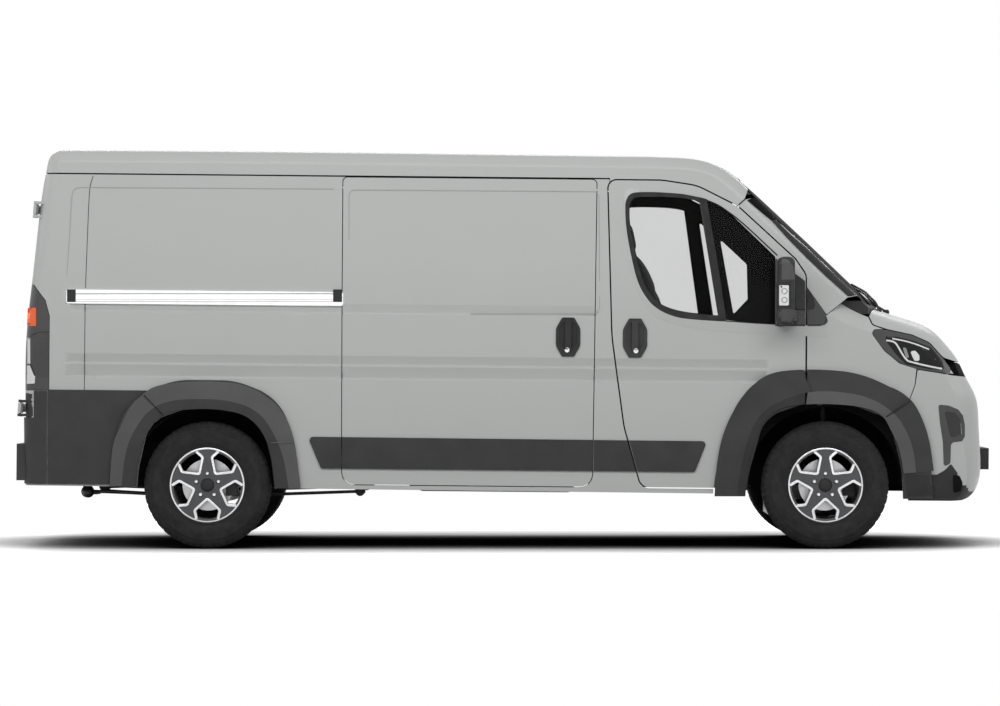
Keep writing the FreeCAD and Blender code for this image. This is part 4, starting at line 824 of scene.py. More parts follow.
def mirror_parts():
    """The lamp, split lines, cap and chin on each mirror's housing, with a light edge strip; the
    cap and edge strip are lighter copies of the black plastic, painted highlight.
    """
    meet = by_sight("door_trim_right")
    for name, shape, material, thickness in (
            # The edge strip and the cap are painted highlight on the black housing.
            ("mirror_edge_highlight", [(775.5, 259.0, 1), (777.4, 258.0, 0.6), (777.4, 326.2, 0.6),
                             (775.5, 325.4, 1)], PLASTIC_HIGHLIGHT, 0.003),
            ("mirror_cap", [(778.0, 258.2, 2), (787.0, 258.6, 5), (793.6, 266.0, 6),
                            (794.4, 279.6, 1), (778.0, 279.6, 0.6)], PLASTIC_LIT, 0.004),
            ("mirror_chin", [(778.0, 309.2, 0.6), (794.0, 309.2, 1), (793.0, 320.0, 5),
                             (785.0, 326.4, 4), (778.0, 326.6, 1)], PLASTIC_MID, 0.004),
            ("mirror_lamp_frame", [(778.2, 281.8, 1), (794.2, 281.8, 1.5),
                                   (794.2, 307.4, 1.5), (778.2, 307.4, 1)], PLASTIC_DARK, 0.002),
            ("mirror_lamp", [(779.2, 285.2, 1), (788.9, 285.2, 1), (788.9, 305.4, 1),
                             (779.2, 305.4, 1)], LAMP_WHITE, 0.004)):
        both_laid(name, meet, rounded(shape, 4), material, DOORS, thickness=thickness,
                  bevel=0.0014, cell=4.0)
    for name, radius, material, thickness in (
            ("mirror_lamp_rings", 3.1, LAMP_GREY, 0.0048), ("mirror_lamp_cups", 2.2, LAMP_WHITE,
                                                            0.0054)):
        both_laid(name, meet, [circle_at(784.6, py, radius) for py in (291.2, 300.0)], material,
                  DOORS, thickness=thickness, bevel=0.0006, cell=9.0)
    arm = rounded([(795.2, 273.6), (805.2, 281.0), (805.2, 309.2, 0.5), (795.2, 309.2, 1)], 3)
    both_laid("mirror_arm", meet, arm, PLASTIC, DOORS, thickness=0.012, bevel=0.004, cell=4.0)
    foot = [(790.0, 309.8), (805.2, 309.8), (805.2, 324.4), (790.0, 324.4)]
    both_laid("mirror_foot", meet, foot, PLASTIC_MID, DOORS, thickness=0.0012, cell=4.0)
    sail = by_sight("side_cladding")
    both_laid("sail_plate", sail, rounded([(807.0, 286.6), (826.2, 313.6, 2), (824.6, 324.0, 3),
                                           (807.0, 324.4)], 3), PLASTIC_MID, thickness=0.0012,
              bevel=0.0006, cell=4.0)
    both_laid("sail_socket", sail, rounded([(807.0, 287.6), (813.5, 297.0), (815.4, 306.0, 1.5),
                                            (813.5, 309.4, 1.5), (807.0, 309.4)], 3),
              PLASTIC_DARK, thickness=0.006, bevel=0.002, cell=4.0)


# Handles
def handle_parts():
    """The key cylinder of each side handle."""
    for name, px, py, bodies in (("sliding_door_key", 567.1, 350.0, None),
                                 ("front_door_key", 636.0, 350.9, DOORS)):
        meet = by_sight("sliding_door_handle", "door_trim_right", "sliding_door",
                        "front_door_right")
        ring = circle_at(px, py, 2.4)
        if bodies:
            both_laid(name, meet, ring, KEY_METAL, bodies, thickness=0.003, bevel=0.0012)
        else:
            laid(name, meet, ring, KEY_METAL, BODY, thickness=0.003, bevel=0.0012)


# Headlamps
def headlamp_parts():
    """The dark lens, light strips and projectors of each headlamp."""
    meet = by_sight("headlamps", "grille", "front_bumper", "bonnet")
    lens = rounded([(885.6, 336.2, 1), (898.0, 337.0), (913.0, 340.6), (931.0, 347.2, 3),
                    (942.5, 361.5), (944.5, 369.6, 1.5), (930.0, 369.2), (906.0, 364.4, 3),
                    (896.0, 354.0, 3), (886.6, 341.5, 2)], 4)
    both_laid("headlamp_lens", meet, lens, LENS_DARK, thickness=0.0016, bevel=0.0008, cell=3.0)
    upper = line(curve_through([(892.4, 338.6), (905.0, 341.0), (917.0, 344.6), (929.2, 349.4)],
                               4), 1.35)
    both_laid("headlamp_strip_upper", meet, upper, LAMP_WHITE, thickness=0.0042, bevel=0.0008,
              cell=3.0)
    lower = line(curve_through([(886.4, 340.4), (892.5, 341.4), (896.4, 344.0), (901.0, 351.6),
                                (905.0, 357.8), (908.6, 361.0), (915.0, 362.9), (928.0, 366.0),
                                (942.2, 368.8)], 5), 1.7)
    both_laid("headlamp_strip_lower", meet, lower, LAMP_WHITE, thickness=0.0042, bevel=0.0008,
              cell=3.0)
    for index, shape in enumerate((
            [(902.4, 346.6, 1), (906.4, 348.4, 1.5), (910.2, 360.6, 1.5), (906.0, 357.5, 1)],
            [(910.2, 351.2, 1.5), (915.6, 350.6, 2), (919.4, 355.4, 2), (919.8, 361.0, 2),
             (914.4, 360.8, 2)])):
        both_laid(f"headlamp_projector_{index}", meet, rounded(shape, 4),
                  LAMP_WHITE if index else LAMP_GREY, thickness=0.0030, bevel=0.0014, cell=2.0)
    wing = line(curve_through([(897.0, 358.6), (903.0, 364.6), (909.0, 368.2), (919.0, 370.0)],
                              4), 1.5)
    both_laid("headlamp_edge", meet, wing, PLASTIC_MID, thickness=0.0025, cell=3.0)


# Tail lamps
def tail_lamp_parts():
    """The amber square, clear strips and louvred panel of each tail lamp, seen from the side."""
    meet = by_sight("tail_lamps", "side_right")
    amber = rounded([(27.6, 307.8, 0.6), (36.0, 307.8, 0.8), (36.0, 326.0, 0.8),
                     (26.8, 326.0, 0.6)])
    both_laid("tail_lamp_amber", meet, amber, AMBER, thickness=0.0022, bevel=0.0008, cell=3.0)
    strip = [(27.4, 337.6), (30.0, 337.6), (30.2, 363.6), (27.2, 363.6)]
    both_laid("tail_lamp_strip", meet, strip, CLEAR, thickness=0.0020, bevel=0.0008, cell=3.0)
    foot = rounded([(27.0, 365.4, 0.6), (30.2, 365.4, 0.6), (35.0, 376.0, 0.8),
                    (34.6, 383.6, 1.0), (26.6, 383.8, 0.6)])
    both_laid("tail_lamp_foot", meet, foot, CLEAR, thickness=0.0020, bevel=0.0008, cell=3.0)
    both_laid("tail_lamp_chevron", meet, line([(30.2, 364.6), (34.6, 375.6)], 1.4), GLOSS_BLACK,
              thickness=0.0032, cell=3.0)
    border = line([(28.8, 338.6), (32.5, 334.8), (37.8, 332.4), (40.6, 332.0), (48.8, 332.0)],
                  1.0)
    both_laid("tail_lamp_border", meet, border, GLOSS_BLACK, thickness=0.0016, cell=3.0)
    slats = []
    for index in range(21):
        y = 334.0 + 2.1 * index
        left = 33.6
        if y < 338.5:
            left = 40.0 - (y - 332.4) * 1.05
        if y > 362.0:
            left = 33.6 + (y - 362.0) * 0.31
        slats.append([(left, y - 0.62), (48.4, y - 0.62), (48.4, y + 0.42), (left, y + 0.42)])
    both_laid("tail_lamp_louvres", meet, slats, PLASTIC_MID, thickness=0.0030, bevel=0.0006,
              cell=6.0)


# Sliding door rail
def rail_parts():
    """The rail's black ends and the grooves along it."""
    meet = by_sight("slide_rail")
    for name, x0, x1 in (("rail_end_rear", 66.9, 75.6), ("rail_end_front", 333.0, 342.0)):
        laid(name, meet, rounded([(x0, 289.4, 0.6), (x1, 289.4, 0.4), (x1, 302.0, 0.4),
                                  (x0, 302.0, 0.6)]), PLASTIC_DARK, thickness=0.0016,
             bevel=0.0006, cell=4.0)
    for index, (y, width, material) in enumerate(((293.7, 0.85, LAMP_GREY),
                                                  (299.6, 0.6, RAIL_GREY),
                                                  (301.4, 0.8, RAIL_GREY))):
        laid(f"rail_groove_{index}", meet, [(75.7, y - width / 2), (332.9, y - width / 2),
                                            (332.9, y + width / 2), (75.7, y + width / 2)],
             material, thickness=0.0004, cell=20.0)


# Panel seams
def seams():
    meet = by_sight("side_right", "sliding_door", "front_door_right", "roof", "wings",
                    "front_bumper", "bonnet")
    rear = curve_through([(93.0, 176.0), (89.6, 190.0), (87.6, 230.0), (85.4, 288.0)], 4)
    both_laid("seam_rear_upper", meet, line(rear, 0.75), SEAM, thickness=0.0004, cell=12.0)
    both_laid("seam_rear_lower", meet, line([(85.0, 303.6), (84.2, 391.4)], 0.75), SEAM,
              thickness=0.0004, cell=12.0)


# Body panels with their pressings
SWAGES = [(1010, 1019, 1069, 19.0, -2488, 1445), (935, 944, 1009, 22.0, -2488, 1445),
          (1301, 1309, 1358, 12.0, -2464, 490)]
SWAGE_END = 26.0
PRESSED = {"side_right": BODY, "side_left": BODY, "sliding_door": BODY,
           "front_door_right": "front_door_right", "front_door_left": "front_door_left"}


def press(x, z):
    """How deep the pressings lie at a world place in metres, in metres."""
    level_x = (x * math.cos(RAKE) - z * math.sin(RAKE)) * SCALE
    level_z = (z * math.cos(RAKE) + x * math.sin(RAKE)) * SCALE
    for foot, crease, top, depth, start, end in SWAGES:
        if foot < level_z < top and start < level_x < end:
            if level_z > crease:
                share = (top - level_z) / (top - crease)
            else:
                share = (level_z - foot) / (crease - foot)
            close = min(level_x - start, end - level_x, SWAGE_END) / SWAGE_END
            return depth * share * close * close * (3 - 2 * close) / SCALE
    return 0.0


def press_slope(x, z, step=0.0006):
    return Vector(((press(x + step, z) - press(x - step, z)) / (2 * step), 0.0,
                   (press(x, z + step) - press(x, z - step)) / (2 * step)))


def press_lines():
    """Level heights and lengths at which the panels get an edge for their pressings."""
    heights, lengths = set(), set()
    for foot, crease, top, _, start, end in SWAGES:
        heights.update([foot, crease] + [crease + (top - crease) * k / 7 for k in range(1, 8)])
        for k in range(5):
            lengths.update((start + SWAGE_END * k / 4, end - SWAGE_END * k / 4))
    return sorted(heights), sorted(lengths)


def pressed_panel(node, body):
    """A copy of a panel whose outer skin is pressed in, with the panel's own smooth shading."""
    source = NODES[node].data
    bm = bmesh.new()
    bm.from_mesh(source)
    origin = bm.faces.layers.int.new("origin")
    for index, face in enumerate(bm.faces):
        face[origin] = index
    heights, lengths = press_lines()
    up = Vector((math.sin(RAKE), 0.0, math.cos(RAKE)))
    ahead = Vector((math.cos(RAKE), 0.0, -math.sin(RAKE)))
    for places, normal in ((heights, up), (lengths, ahead)):
        for place in places:
            near = [f for f in bm.faces
                    if min(v.co.dot(normal) for v in f.verts) < place / SCALE
                    < max(v.co.dot(normal) for v in f.verts)]
            parts = set(near)
            for face in near:
                parts.update(face.edges)
                parts.update(face.verts)
            bmesh.ops.bisect_plane(bm, geom=list(parts), plane_co=normal * place / SCALE,
                                   plane_no=normal, dist=1e-6)
    skin_verts = {v for v in bm.verts if abs(abs(v.co.y) - side_y(v.co.x, v.co.z)) < 0.0025}
    normals = []
    for face in bm.faces:
        old = source.polygons[face[origin]]
        corners = [source.vertices[i].co for i in old.vertices]
        ways = [source.corner_normals[i].vector for i in old.loop_indices]
        middle = face.calc_center_median()
        outer = all(v in skin_verts for v in face.verts)
        for corner in face.loops:
            place = corner.vert.co.lerp(middle, 0.1)
            shares = poly_3d_calc(corners, place)
            way = sum((n * s for n, s in zip(ways, shares)), Vector())
            if outer and abs(way.y) > 0.3:
                way = way / abs(way.y) + press_slope(place.x, place.z)
            normals.append(way.normalized())
    for vert in skin_verts:
        vert.co.y -= math.copysign(press(vert.co.x, vert.co.z), vert.co.y)
    mesh = bpy.data.meshes.new(node + "_pressed")
    bm.to_mesh(mesh)
    bm.free()
    for material in source.materials:
        mesh.materials.append(material)
    mesh.polygons.foreach_set("use_smooth", [True] * len(mesh.polygons))
    mesh.normals_split_custom_set(normals)
    piece = bpy.data.objects.new(node + "_pressed", mesh)
    bpy.context.scene.collection.objects.link(piece)
    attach(piece, body)
    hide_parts(node)


def dark_rooms():
    # Inner faces in the cab turn near-black, part real trim and part painted shade; those in the
    # load space take the grey lining.
    for name in ("side_right", "side_left", "sliding_door", "front_door_right",
                 "front_door_left", "rear_door_right", "rear_door_left", "roof"):
        mesh = NODES[name].data
        mesh.materials.append(CABIN_TRIM_AND_SHADE)
        mesh.materials.append(LINING)
        for face in mesh.polygons:
            place = face.center
            out = Vector((0.0, place.y, 0.6 * (place.z - 1.2)))
            if name.startswith("rear_door"):
                out = Vector((-1.0, 0.0, 0.0))
            if face.normal.dot(out.normalized()) < -0.10:
                face.material_index = 1 if place.x > LOAD_SPACE_END else 2
    # Inner faces of the wings, bonnet and bumper turn black: painted shade.
    for name, middle in (("wings", Vector((1.77, 0.0, 0.5))), ("bonnet", Vector((1.7, 0, 0.3))),
                         ("front_bumper", Vector((1.9, 0.0, 0.6)))):
        mesh = NODES[name].data
        mesh.materials.append(ARCH_LINER_AND_SHADE)
        for face in mesh.polygons:
            out = face.center - middle
            if name == "wings":
                out.x = 0.0
            if face.normal.dot(out.normalized()) < -0.10:
                face.material_index = 1
    for name in ("side_right", "side_left"):
        mesh = NODES[name].data
        mesh.materials.append(PLASTIC)
        for face in mesh.polygons:
            if face.center.x < -2.655 and 0.70 < face.center.z < 0.87:
                face.material_index = len(mesh.materials) - 1
    for name in ("side_right", "side_left"):
        mesh = NODES[name].data
        mesh.materials.append(ARCH_LINER_AND_SHADE)
        for face in mesh.polygons:
            place, way = face.center, face.normal
            if way.x > 0.3 and place.x > 1.2 and place.z > 1.36 and abs(place.y) < 0.905:
                face.material_index = len(mesh.materials) - 1
    mesh = NODES["front_bumper"].data
    mesh.materials.append(PLASTIC_DARK)
    for face in mesh.polygons:
        x, z = face.center.x, face.center.z
        low = z < 0.418 if x < 2.46 else z < 0.445 - 1.02 * (x - 2.46)
        if (low or z < 0.315) and face.material_index == 0:
            face.material_index = 2
    # Inward faces of the flares and door trims low down turn black: painted shade.
    for name in ("arch_flares", "door_trim_right", "door_trim_left"):
        mesh = NODES[name].data
        mesh.materials.append(ARCH_LINER_AND_SHADE)
        for face in mesh.polygons:
            if face.normal.y * face.center.y < -0.5 and face.center.z < 0.95:
                face.material_index = 1


LOAD_SPACE_END = 0.35


# Curved bands of plastic and paint
def evenly(points, count):
    """Points along a line, evenly far apart."""
    points = [Vector(p) for p in points]
    far = [0.0]
    for a, b in zip(points, points[1:]):
        far.append(far[-1] + (b - a).length)
    wanted = np.linspace(0.0, far[-1], count)
    return [Vector((np.interp(w, far, [p.x for p in points]),
                    np.interp(w, far, [p.y for p in points]))) for w in wanted]


def band(name, curves, materials, bodies=(BODY, BODY), count=40, base=0.0, thickness=0.003,
         keep=None, smooth=3, angle=30.0):
    """A strip over lines (points, how far it stands out of the bodyside), on both sides."""
    rows = []
    for points, proud in curves:
        meet = skin(-(base + proud))
        row = []
        for place in evenly(curve_through(points, smooth), count):
            start, ray, distance = meet(place.x, place.y)
            row.append((place, start + ray * distance))
        rows.append(row)
    for side, word in SIDES.items():
        bm = bmesh.new()
        for index, (upper, lower) in enumerate(zip(rows, rows[1:])):
            for i in range(count - 1):
                if keep and not keep((upper[i][0].x + upper[i + 1][0].x) / 2):
                    continue
                corners = [upper[i][1], upper[i + 1][1], lower[i + 1][1], lower[i][1]]
                face = bm.faces.new([bm.verts.new((v.x, v.y * -side, v.z)) for v in corners])
                face.material_index = index
        bmesh.ops.remove_doubles(bm, verts=bm.verts, dist=1e-5)
        made = bmesh.ops.extrude_face_region(bm, geom=bm.faces[:])
        for vert in made["geom"]:
            if isinstance(vert, bmesh.types.BMVert):
                vert.co.y -= side * thickness
        from_bmesh(f"{name}_{word}", bm, materials, bodies[0 if side == RIGHT else 1], angle)


REAR_OUTER = [(109.7, 486.0), (110.3, 472.0), (111.1, 462.9), (112.2, 449.6), (113.9, 441.3),
              (116.4, 434.7), (120.5, 426.4), (125.5, 414.8), (133.0, 403.2), (142.9, 394.5),
              (149.5, 389.0), (159.5, 385.3), (172.7, 382.9), (189.3, 381.6), (209.2, 381.3),
              (229.1, 382.4), (242.4, 384.9), (255.7, 389.9), (267.3, 397.4), (277.2, 405.6),
              (285.5, 417.3), (290.5, 428.0), (293.8, 439.6), (295.5, 447.9), (298.0, 466.2),
              (300.8, 488.4)]
REAR_CREASE = [(121.5, 486.0), (122.5, 475.0), (124.0, 462.0), (127.5, 446.0), (134.0, 431.0),
               (144.5, 415.5), (157.0, 405.6), (166.1, 402.3), (179.4, 399.8), (200.9, 399.0),
               (219.2, 399.8), (234.1, 402.3), (247.4, 406.5), (259.0, 413.9), (267.3, 423.1),
               (273.1, 433.0), (277.2, 441.3), (281.5, 452.0), (285.0, 466.0), (288.6, 488.4)]
REAR_LIP = [(134.4, 486.0), (135.4, 476.0), (137.1, 462.9), (140.4, 449.6), (145.4, 436.3),
            (152.9, 424.7), (161.1, 416.4), (169.4, 412.3), (179.4, 410.3), (197.6, 409.0),
            (214.2, 409.3), (230.8, 411.5), (242.4, 414.8), (250.7, 419.7), (259.0, 428.0),
            (265.6, 439.6), (270.6, 452.9), (273.9, 467.8), (276.0, 488.4)]
FRONT_OUTER = [(714.6, 496.4), (715.3, 482.4), (717.2, 463.3), (721.0, 442.3), (726.8, 425.0),
               (734.4, 409.7), (744.0, 395.4), (755.5, 383.0), (767.0, 375.3), (782.3, 371.1),
               (805.2, 369.6), (824.4, 369.9), (845.4, 371.5), (862.6, 375.3), (877.9, 381.0),
               (895.1, 389.7), (910.4, 399.2), (920.0, 413.6), (926.7, 430.8), (930.5, 446.1),
               (932.4, 459.5), (934.0, 471.0)]
FRONT_CREASE = [(737.5, 496.4), (738.6, 482.4), (741.1, 467.1), (745.0, 449.9), (750.7, 432.7),
                (757.4, 419.3), (767.0, 408.8), (778.4, 402.1), (791.8, 396.8), (807.1, 392.6),
                (824.4, 391.2), (843.5, 392.5), (860.7, 395.4), (876.0, 401.1), (887.0, 407.9),
                (898.0, 417.5), (904.7, 428.0), (910.4, 440.4), (914.3, 455.7), (916.2, 472.6)]
FRONT_LIP = [(745.4, 496.4), (746.9, 478.6), (749.7, 459.5), (755.5, 440.4), (761.2, 427.0),
             (768.9, 416.4), (778.4, 409.7), (789.9, 405.9), (805.2, 404.4), (824.4, 404.0),
             (845.4, 405.0), (862.6, 407.4), (876.0, 411.7), (884.6, 418.4), (891.3, 430.8),
             (897.0, 442.3), (900.9, 455.7), (902.8, 467.1), (904.0, 473.6)]


def flare_bands():
    """The creased faces of the arch flares, with their split lines."""
    stand = 0.0272
    # Besides their real tilt, the facets take lighter and darker copies of the black plastic:
    # painted light on the rear flare's outer facet and the wing's lip, painted shade on the
    # door's lip.
    band("rear_flare_band", [(REAR_OUTER, 0.0006), (REAR_CREASE, 0.0115), (REAR_LIP, 0.0030)],
         [PLASTIC_LIT, PLASTIC], count=64, base=stand)
    front = [(FRONT_OUTER, 0.0006), (FRONT_CREASE, 0.0060), (FRONT_LIP, 0.0130)]
    band("door_flare_band", front, [PLASTIC, PLASTIC_DARK], DOORS, count=120, base=stand,
         keep=lambda px: px < 804.4)
    band("wing_flare_band", front, [PLASTIC, PLASTIC_LIT], count=120, base=stand,
         keep=lambda px: px > 807.4)
    meet = skin(-(stand + 0.011))
    for name, points, material in (
            ("rear_flare_split", [(143.7, 394.9), (149.5, 401.2), (157.0, 409.0),
                                  (162.8, 415.4)], SEAL),
            # The step is a light line of painted highlight.
            ("rear_flare_step_highlight", [(270.8, 443.0), (281.0, 442.4), (293.6, 441.6)], PLASTIC_HIGHLIGHT),
            ("front_flare_split", [(886.2, 417.0), (898.0, 409.0), (910.2, 400.4)], SEAL)):
        both_laid(name, meet, line(points, 0.9), material, thickness=0.003, cell=3.0)


WINDOW_CREASE = [(640.0, 188.4), (632.0, 188.4), (626.2, 189.6), (624.0, 193.0), (623.5, 199.0),
                 (623.2, 206.0), (623.5, 214.0), (624.9, 232.0), (627.0, 252.0), (629.8, 267.0),
                 (633.0, 281.5), (637.2, 293.0), (642.5, 302.0), (647.3, 308.8), (652.8, 313.8),
                 (661.0, 319.0), (670.4, 322.6), (682.0, 326.2), (695.0, 328.4), (709.0, 330.4),
                 (724.7, 332.0), (750.0, 333.8), (776.0, 335.0), (800.0, 336.0), (829.0, 336.8)]
WINDOW_RIM = [(640.0, 192.0), (635.0, 192.4), (630.6, 194.0), (628.2, 196.6), (626.7, 199.0),
              (625.6, 203.0), (625.3, 207.0), (626.1, 225.7), (629.3, 246.3), (633.0, 263.9),
              (635.9, 275.6), (640.3, 287.4), (645.5, 296.2), (651.3, 303.5), (658.7, 309.4),
              (663.8, 312.3), (668.9, 314.5), (682.1, 318.2), (702.7, 320.2), (719.0, 321.2),
              (735.0, 322.2), (752.0, 323.4), (776.0, 324.8), (800.0, 325.4), (823.0, 325.6)]


def window_surround():
    """The pressed edge of each front door round its window."""
    band("window_surround", [(WINDOW_CREASE, 0.0002), (WINDOW_RIM, 0.0048)], [PAINT], DOORS,
         count=90, thickness=0.002, smooth=2)


# Seats
def cushion(name, middle, size, lean, crown, channels):
    """A crowned cushion with sewn channels: its sides pull in between its corners."""
    bm = bmesh.new()
    bmesh.ops.create_cube(bm, size=2.0)
    bmesh.ops.subdivide_edges(bm, edges=bm.edges[:], cuts=19, use_grid_fill=True)
    turn = Matrix.Rotation(lean, 3, "Y")
    for vert in bm.verts:
        u, v, w = vert.co
        power = 5.0
        far = (abs(u) ** power + abs(v) ** power + abs(w) ** power) ** (1 / power)
        u, v, w = (c * max(abs(u), abs(v), abs(w)) / far for c in (u, v, w))
        side = 1.0 - 0.035 * (1 - v * v) * abs(u) ** 3
        across = 1.0 - 0.035 * (1 - u * u) * abs(v) ** 3
        rise = crown * (1 - u ** 4) * (1 - v ** 4) * (1 if w > 0 else 0.2) * w
        for axis, place in channels:
            gap = (v if axis == "v" else u) - place
            rise -= 0.010 * math.exp(-(gap / 0.035) ** 2) * max(w, 0.0)
        local = Vector((u * size[0] / 2 * side, v * size[1] / 2 * across,
                        w * size[2] / 2 + rise))
        vert.co = Vector(middle) + turn @ local
    piece = from_bmesh(name, bm, [FABRIC], BODY, 80.0)
    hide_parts("seats")
    return piece


def seats():
    """Driver's seat on the left, and two passenger places, each on a plastic seat box."""
    for name, y, width in (("driver", 0.575, 0.490), ("middle", -0.160, 0.440),
                           ("passenger", -0.615, 0.450)):
        seam = [("v", -0.62), ("v", 0.62)]
        cushion(f"{name}_seat_cushion", tip(FRONT_AXLE - 690, 0, 822) + Vector((0, y, 0)),
                (0.530, width, 0.125), math.radians(-3), 0.016, seam + [("u", -0.25)])
        cushion(f"{name}_seat_back", tip(FRONT_AXLE - 988, 0, 1262) + Vector((0, y, 0)),
                (0.840, width - 0.01, 0.125), math.radians(72.0), 0.038,
                seam + [("u", 0.05), ("u", -0.42)])
        cushion(f"{name}_headrest", tip(FRONT_AXLE - 1124, 0, 1745) + Vector((0, y, 0)),
                (0.165, 0.262, 0.085), math.radians(78), 0.008, [])
        box_shape = rounded([(-0.930, 0.520, 0.02), (-0.480, 0.520, 0.02), (-0.470, 0.755, 0.04),
                             (-0.935, 0.755, 0.04)], 4)
        bm = flat_faces([tuple(p) for p in box_shape], [])
        for vert in bm.verts:
            vert.co = tip(FRONT_AXLE + vert.co.x * SCALE, 0, vert.co.z * SCALE)
            vert.co.y = y - width / 2 + 0.06
        made = bmesh.ops.extrude_face_region(bm, geom=bm.faces[:])
        for vert in made["geom"]:
            if isinstance(vert, bmesh.types.BMVert):
                vert.co.y += width - 0.12
        bevelled(from_bmesh(f"{name}_seat_box", bm, [CABIN], BODY), 0.008)
        for offset_y in (-0.055, 0.055):
            ends = [tip(FRONT_AXLE - x, 0, z) + Vector((0, y + offset_y, 0))
                    for x, z in ((1098, 1600), (1120, 1700))]
            tube(f"{name}_headrest_post_{'right' if offset_y < 0 else 'left'}", ends, 0.006,
                 BRIGHT, BODY, False)


# Wipers
def spot(px, py, y):
    """The place in metres that a pixel shows at a distance y from the middle."""
    ray = sight(px, py)
    return EYE + ray * ((y - EYE.y) / ray.y)


def screen_parts():
    """The wipers at the foot of the windscreen."""
    arms = (("passenger", [(878.5, 311.0, -0.60), (878.0, 304.4, -0.56), (868.6, 295.6, -0.40),
                           (865.3, 291.5, -0.25), (851.5, 284.6, -0.05)]),
            ("driver", [(886.0, 311.6, 0.05), (877.0, 306.0, 0.10), (868.3, 301.5, 0.22),
                        (859.0, 293.0, 0.42), (849.5, 286.0, 0.60)]))
    for name, points in arms:
        places = [spot(*p) for p in points]
        tube(f"wiper_arm_{name}", places, 0.0065, PLASTIC_DARK, BODY)
        blade = [spot(px - 1.5, py + 1.6, y) for px, py, y in points[1:]]
        tube(f"wiper_blade_{name}", blade, 0.0055, SEAL, BODY)
        bm = bmesh.new()
        revolve(bm, [(0.0001, -0.012), (0.014, -0.011), (0.019, -0.004), (0.020, 0.012)], 28)
        for vert in bm.verts:
            vert.co = places[0] + Vector((vert.co.x, vert.co.z, -vert.co.y))
        from_bmesh(f"wiper_pivot_{name}", bm, [PLASTIC_DARK], BODY)


# Front corner
def front_corner():
    """The bumper's intake pocket, its lower valance and its tow-hook tooth."""
    meet = by_sight("front_bumper", "bumper_trim", "wings")
    pocket = rounded([(938.4, 404.6, 2), (948.7, 405.5), (958.3, 409.4, 3), (963.1, 415.5),
                      (965.0, 425.0), (965.0, 436.5, 3), (962.1, 441.3), (953.5, 442.3, 2),
                      (951.0, 444.6, 2), (950.6, 463.3, 3), (943.9, 467.1, 2), (943.0, 442.3),
                      (940.1, 423.1)], 4)
    # The pocket's rim is a mid-grey copy of the black plastic and its floor darker: painted light
    # on the rim, painted shade in the floor.
    both_laid("bumper_pocket", meet, pocket, PLASTIC_MID, thickness=0.0016, bevel=0.0008,
              cell=3.0)
    deep = rounded([(944.5, 411.0, 2), (955.0, 412.5, 3), (960.5, 420.0, 3), (961.5, 434.0, 3),
                    (951.0, 438.5, 3), (947.5, 424.0)], 4)
    both_laid("bumper_pocket_floor", meet, deep, PLASTIC, thickness=0.0030, bevel=0.0008,
              cell=3.0)
    valance = rounded([(905.2, 475.4, 1), (937.2, 474.6), (944.9, 470.2), (951.0, 463.8, 1),
                       (957.6, 472.9), (958.0, 494.0), (907.6, 496.6, 1)], 3)
    lower = by_sight("front_bumper", "arch_flares", "door_trim_right", "bumper_trim")
    both_laid("bumper_valance", lower, valance, PLASTIC_DARK, thickness=0.0022, bevel=0.0010,
              cell=3.0)
    recess = rounded([(952.8, 474.4, 2), (959.6, 475.8, 2), (962.8, 482.6, 3), (961.2, 491.0, 2),
                      (953.4, 493.6, 2)], 3)
    both_laid("fog_recess", meet, recess, ARCH_LINER_AND_SHADE, thickness=0.0036, bevel=0.0008, cell=2.0)


def shade_backings():
    """Black plates of painted shade inside the nose and the front arches, where daylight would
    show.
    """
    both_laid("nose_shade_plate", skin(0.13), [(938.0, 350.0), (952.0, 356.5), (960.0, 376.5),
                                           (938.0, 377.0)], ARCH_LINER_AND_SHADE, thickness=0.003,
              cell=20.0)
    laid("nose_shade_plate_middle", skin(0.92), [(950.0, 361.6), (957.8, 363.0), (959.6, 366.0),
                                             (952.0, 372.0)], ARCH_LINER_AND_SHADE, thickness=0.003,
         cell=20.0)
    both_laid("arch_shade_plate", skin(0.26), [(790.0, 388.0), (862.0, 388.0), (862.0, 413.0),
                                           (790.0, 413.0)], ARCH_LINER_AND_SHADE, thickness=0.003,
              cell=30.0)


HOUSING_RADIUS = 0.446
FLANGE_LAP, FLANGE_REACH, FLANGE_THICKNESS = 0.006, 0.100, 0.004
FLANGE_START, FLANGE_SWEEP, FLANGE_STEPS = -2.0, 184.0, 56
FLANGE_PLACES = {"front": (FRONT_AXLE / 1000, 0.912), "rear": (REAR_AXLE / 1000, 0.926)}


def housing_flanges():
    """The flange of each wheel housing, which closes its arch to what is inside the panel."""
    for (end, (x, y)), (side, word) in itertools.product(FLANGE_PLACES.items(), SIDES.items()):
        bm = bmesh.new()
        rows = []
        for k in range(FLANGE_STEPS + 1):
            angle = math.radians(FLANGE_START + FLANGE_SWEEP * k / FLANGE_STEPS)
            rows.append([bm.verts.new((x + r * math.cos(angle), side * y,
                                       AXLE_HEIGHT / 1000 + r * math.sin(angle)))
                         for r in (HOUSING_RADIUS - FLANGE_LAP, HOUSING_RADIUS + FLANGE_REACH)])
        for (a, b), (c, d) in zip(rows, rows[1:]):
            bm.faces.new((a, b, d, c))
        made = bmesh.ops.extrude_face_region(bm, geom=bm.faces[:])
        for vert in made["geom"]:
            if isinstance(vert, bmesh.types.BMVert):
                vert.co.y += side * FLANGE_THICKNESS
        from_bmesh(f"housing_flange_{end}_{word}", bm, [ARCH_LINER_AND_SHADE], BODY)


def rear_corner():
    """The dark end of the bumper beside each rear door."""
    meet = by_sight("rear_door_right")
    both_laid("rear_corner", meet, [(26.8, 389.8), (33.6, 389.8), (33.6, 414.0), (26.6, 414.0)],
              PLASTIC, ("rear_door_right", "rear_door_left"), thickness=0.0012, cell=6.0)


